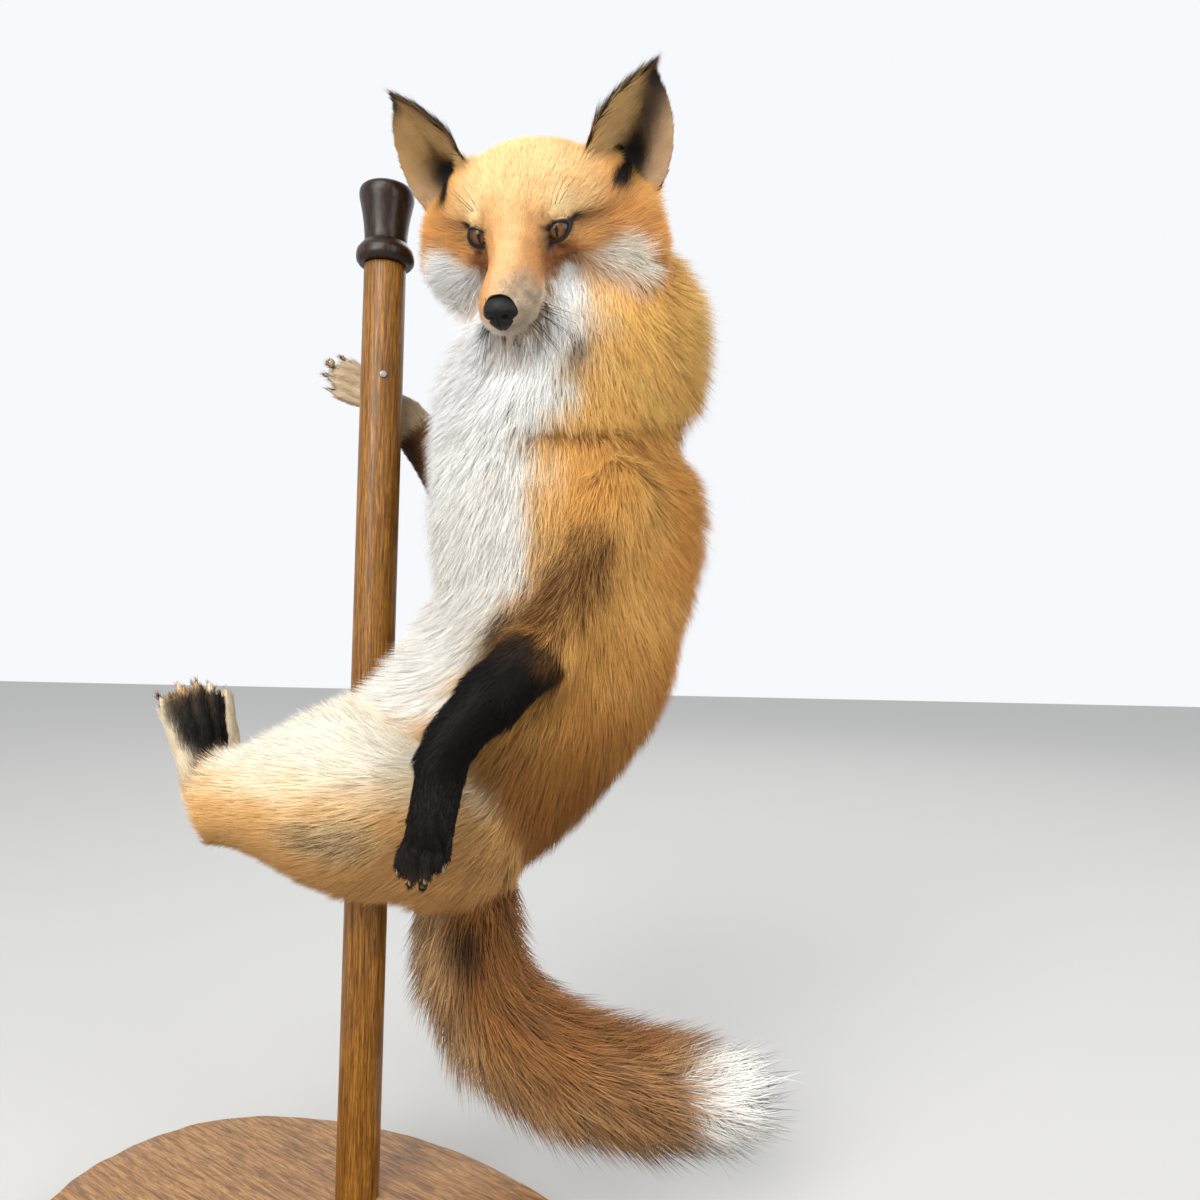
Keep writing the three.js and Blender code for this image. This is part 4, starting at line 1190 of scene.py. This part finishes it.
def turned(name, rings, edge):
    """A lathe-turned piece: a disc drawn up ring by ring, its edges eased."""
    piece = added(name, bpy.ops.mesh.primitive_circle_add, vertices=LATHE_SIDES, radius=rings[0][0],
                  fill_type="NGON", location=(0, 0, rings[0][1]))
    worked(piece, lambda: drawn_up(rings))
    worked(piece, lambda: bpy.ops.mesh.normals_make_consistent(inside=False))
    eased = piece.modifiers.new("eased edges", "BEVEL")
    eased.width = edge
    eased.segments = 3
    eased.limit_method = "ANGLE"
    eased.angle_limit = math.radians(24)
    bpy.ops.object.modifier_apply(modifier="eased edges")
    bpy.ops.object.transform_apply(location=True, rotation=True, scale=True)
    bpy.ops.object.shade_smooth_by_angle(angle=math.radians(35))
    return piece


pole = turned("wooden_pole", [(POLE_RADIUS, POLE_FOOT), (POLE_RADIUS, POLE_TOP)], 0.6 * MM)
for vertex in pole.data.vertices:
    angle = math.atan2(vertex.co.y, vertex.co.x)
    flat = 1 - PLANED * abs(math.sin(angle * 5 + 0.4)) ** 0.7
    vertex.co.x *= flat
    vertex.co.y *= flat


def wood(name, dark, middle_tone, light, roughness, coat, along_grain, across_grain):
    """A stained and lacquered wood: broad figure, fine pores and a clear coat."""
    material, shader = new_material(name, Roughness=roughness, Specular_IOR_Level=0.2,
                                    Coat_Weight=coat, Coat_Roughness=0.18)
    figure = noise_in(shader, along_grain, Detail=6, Roughness=0.6, Distortion=0.6)
    pores = noise_in(shader, across_grain, Detail=4)
    figured = ramp(figure, (0.30, dark), (0.50, middle_tone), (0.68, light))
    coloured(shader, times(figured, ramp(pores, (0.36, (0.52, 0.47, 0.42)), (0.56, WHITE))))
    bump(shader, pores, 0.25, 0.0004)
    return material


pole_wood = wood("stained pole wood", paint(70, 42, 12), paint(122, 80, 28), paint(164, 114, 44),
                 0.42, 0.10, (0.007, 0.007, 0.16), (0.0012, 0.0012, 0.030))
finish_piece(pole, pole_wood, "pole_wood", "pole")

# A grey plug fills the screw hole near the pole's head.
PLUG_AT = np.array((4.7, -15.2, 651)) * MM
plug = added("pole_plug", bpy.ops.mesh.primitive_cylinder_add, vertices=32, radius=2.6 * MM,
             depth=2.4 * MM)
worked(plug, lambda: bpy.ops.mesh.bevel(offset=0.5 * MM, segments=3, affect="EDGES"))
plug.location = PLUG_AT
plug.rotation_euler = Vector((PLUG_AT[0], PLUG_AT[1], 0)).to_track_quat("Z", "Y").to_euler()
plug.data.shade_smooth()
plug_metal, shader = new_material("grey plug", Roughness=0.4, Metallic=0.7)
scuffs = noise_in(shader, (0.001, 0.001, 0.001))
coloured(shader, ramp(scuffs, (0.3, paint(120, 120, 122)), (0.7, paint(165, 165, 168))))
finish_piece(plug, plug_metal, "plug_metal")

# ---- The collar and the cap ----
# Two turnings stained nearly black and lacquered: a rolled collar, and a flared cap on top of
# it. Both are glued and doweled to the pole's head.
COLLAR_FOOT = 739 * MM
CAP_FOOT = 756.3 * MM
# Radius and height above the foot, in millimetres.
COLLAR_RINGS = ((19, 0), (20.4, 1.2), (21.7, 3.2), (22, 5), (22, 8), (21.4, 11), (19.6, 13.6),
                (18, 15.4), (17, 17))
CAP_RINGS = ((16, 0), (16.1, 4), (16.4, 8), (17.1, 15), (18.2, 22), (19.6, 29), (20.7, 34),
             (21, 37), (20.8, 39.5), (20, 41.6), (18.2, 43.2), (16, 44))
collar = turned("turned_collar", [(r * MM, COLLAR_FOOT + h * MM) for r, h in COLLAR_RINGS], 0.3 * MM)
cap = turned("turned_cap", [(r * MM, CAP_FOOT + h * MM) for r, h in CAP_RINGS], 0.3 * MM)
dark_wood = wood("dark turned wood", paint(16, 9, 5), paint(32, 19, 11), paint(62, 40, 22),
                 0.34, 0.16, (0.012, 0.012, 0.05), (0.0014, 0.0014, 0.012))
finish_piece(collar, dark_wood, "cap_wood", "collar")
finish_piece(cap, dark_wood, "cap_wood", "cap")

# ---- The slab ----
# A slice of a leaning trunk makes the foot: an oval slab with its bark taken off and its edge
# left live. It is stained brown, and drying has opened small cracks along its grain.
SLAB_THICK = 38
SLAB_LONG = 520
SLAB_WIDE = 324
SLAB_MIDDLE = np.array((8, -90))
SLAB_TURN = -0.59
SLAB_SIDES = 240
SLAB_INSETS = 10
EDGE_RINGS = ((0, 0), (0, 1.6), (-1.2, 9), (0.4, 18), (0, 27), (-1.4, 33), (-3.2, 36.4), (-5.6, 38))


def slab_edge(angle):
    """Where the slab's live edge runs, from the slab's middle."""
    wander = 1 + 0.012 * math.sin(3 * angle + 0.6) + 0.006 * math.sin(7 * angle + 2)
    wander += 0.0022 * math.sin(23 * angle + 1) + 0.0016 * math.sin(41 * angle)
    return SLAB_LONG / 2 * wander * math.cos(angle), SLAB_WIDE / 2 * wander * math.sin(angle)


def sliced():
    """Draws a disc up by 1 for each ring of the edge, and then sets rings in on its top."""
    for _ in EDGE_RINGS[1:]:
        bpy.ops.mesh.extrude_region_move(TRANSFORM_OT_translate={"value": (0, 0, 1)})
    for _ in range(SLAB_INSETS):
        bpy.ops.mesh.inset(thickness=0.085)


slab = added("base_slab", bpy.ops.mesh.primitive_circle_add, vertices=SLAB_SIDES, radius=1,
             fill_type="NGON")
worked(slab, sliced)
worked(slab, lambda: bpy.ops.mesh.normals_make_consistent(inside=False))
for vertex in slab.data.vertices:
    px, py, pz = vertex.co
    angle = math.atan2(py, px)
    inward = math.hypot(px, py)
    along_edge, height = EDGE_RINGS[round(pz)]
    ex, ey = slab_edge(angle)
    grown_by = 1 + along_edge / math.hypot(ex, ey) * min(1, inward)
    fx, fy = ex * inward * grown_by, ey * inward * grown_by
    if 0 < height < SLAB_THICK:
        ripple = noise.noise(Vector((fx, fy, height)) / 22) * 1.2
        fx *= 1 + ripple / 260
        fy *= 1 + ripple / 260
    turned_x = fx * math.cos(SLAB_TURN) - fy * math.sin(SLAB_TURN) + SLAB_MIDDLE[0]
    turned_y = fx * math.sin(SLAB_TURN) + fy * math.cos(SLAB_TURN) + SLAB_MIDDLE[1]
    vertex.co = (turned_x * MM, turned_y * MM, height * MM)
slab.data.shade_smooth()
only(slab)
bpy.ops.object.shade_smooth_by_angle(angle=math.radians(32))

slab_wood, shader = new_material("stained slab wood", Roughness=0.5, Coat_Weight=0.2,
                                 Coat_Roughness=0.3)
grain_at = ((SLAB_MIDDLE[0] * MM, SLAB_MIDDLE[1] * MM, 0), (0, 0, SLAB_TURN))
figure = noise_in(shader, (0.16, 0.012, 0.03), *grain_at, Detail=7, Roughness=0.62, Distortion=0.8)
pores = noise_in(shader, (0.04, 0.0016, 0.01), *grain_at, Detail=4)
cracks = noise_in(shader, (0.07, 0.006, 0.02), *grain_at, Detail=2, Distortion=0.4)
figured = ramp(
    figure,
    (0.30, paint(88, 56, 26)),
    (0.48, paint(140, 98, 50)),
    (0.62, paint(176, 130, 74)),
    (0.75, paint(124, 84, 42)),
)
pored = times(figured, ramp(pores, (0.38, (0.55, 0.50, 0.45)), (0.56, WHITE)))
coloured(shader, times(pored, ramp(cracks, (0.24, (0.10, 0.08, 0.07)), (0.275, WHITE))))
bump(shader, cracks, 0.3, 0.001)
finish_piece(slab, slab_wood, "base_wood", "base")

# ---- Camera, light and floor ----
# The mount is seen from close by through a wide lens, at the height of its belly. A pale room
# and four large soft lamps light it, and it stands on a plain grey floor.
CAMERA_AT = (0.17135, -0.687, 0.46125)
camera_data = bpy.data.cameras.new("camera")
camera_data.lens = 27.06
camera_data.sensor_width = 36
camera = bpy.data.objects.new("camera", camera_data)
bpy.context.scene.collection.objects.link(camera)
bpy.context.scene.camera = camera
PITCH = math.radians(2)
ROLL = math.radians(1.24)
ahead = Vector((0, math.cos(PITCH), math.sin(PITCH)))
across = Vector((1, 0, 0))
over = Vector((0, -math.sin(PITCH), math.cos(PITCH)))
right = math.cos(ROLL) * across + math.sin(ROLL) * over
top = -math.sin(ROLL) * across + math.cos(ROLL) * over
turned_to = Matrix((right, top, -ahead)).transposed()
camera.matrix_world = Matrix.Translation(CAMERA_AT) @ turned_to.to_4x4()

bpy.context.scene.view_settings.view_transform = "Standard"
world = bpy.data.worlds.new("studio")
bpy.context.scene.world = world
world.use_nodes = True
set_inputs(world.node_tree.nodes["Background"], {"Color": (0.95, 0.97, 1.0, 1), "Strength": 0.98})


def soft_light(name, place, aim, size, power, colour):
    """A square soft lamp of this size in metres, turned to shine at aim."""
    data = bpy.data.lights.new(name, "AREA")
    data.size = size
    data.energy = power
    data.color = colour
    lamp = bpy.data.objects.new(name, data)
    bpy.context.scene.collection.objects.link(lamp)
    lamp.location = place
    lamp.rotation_euler = (Vector(aim) - Vector(place)).to_track_quat("-Z", "Y").to_euler()


soft_light("key", (-0.6, -1.7, 1.9), (0.1, 0, 0.5), 1.4, 49, (1, 0.98, 0.95))
soft_light("fill", (2.6, -1.8, 1.8), (0.1, 0, 0.5), 2.0, 50, (1, 0.99, 0.98))
soft_light("low", (-1.2, -2.2, 1.2), (0.1, 0, 0.6), 1.2, 30, (1, 0.99, 0.97))
soft_light("back", (0.8, 2.2, 2.6), (0.1, 0, 0.5), 1.8, 24, (1, 1, 1))

floor = added("floor", bpy.ops.mesh.primitive_plane_add, size=12, location=(0, 0, -0.0005))
floor_paint, _ = new_material("floor", Base_Color=(0.46, 0.455, 0.44, 1), Roughness=0.9)
floor.data.materials.append(floor_paint)
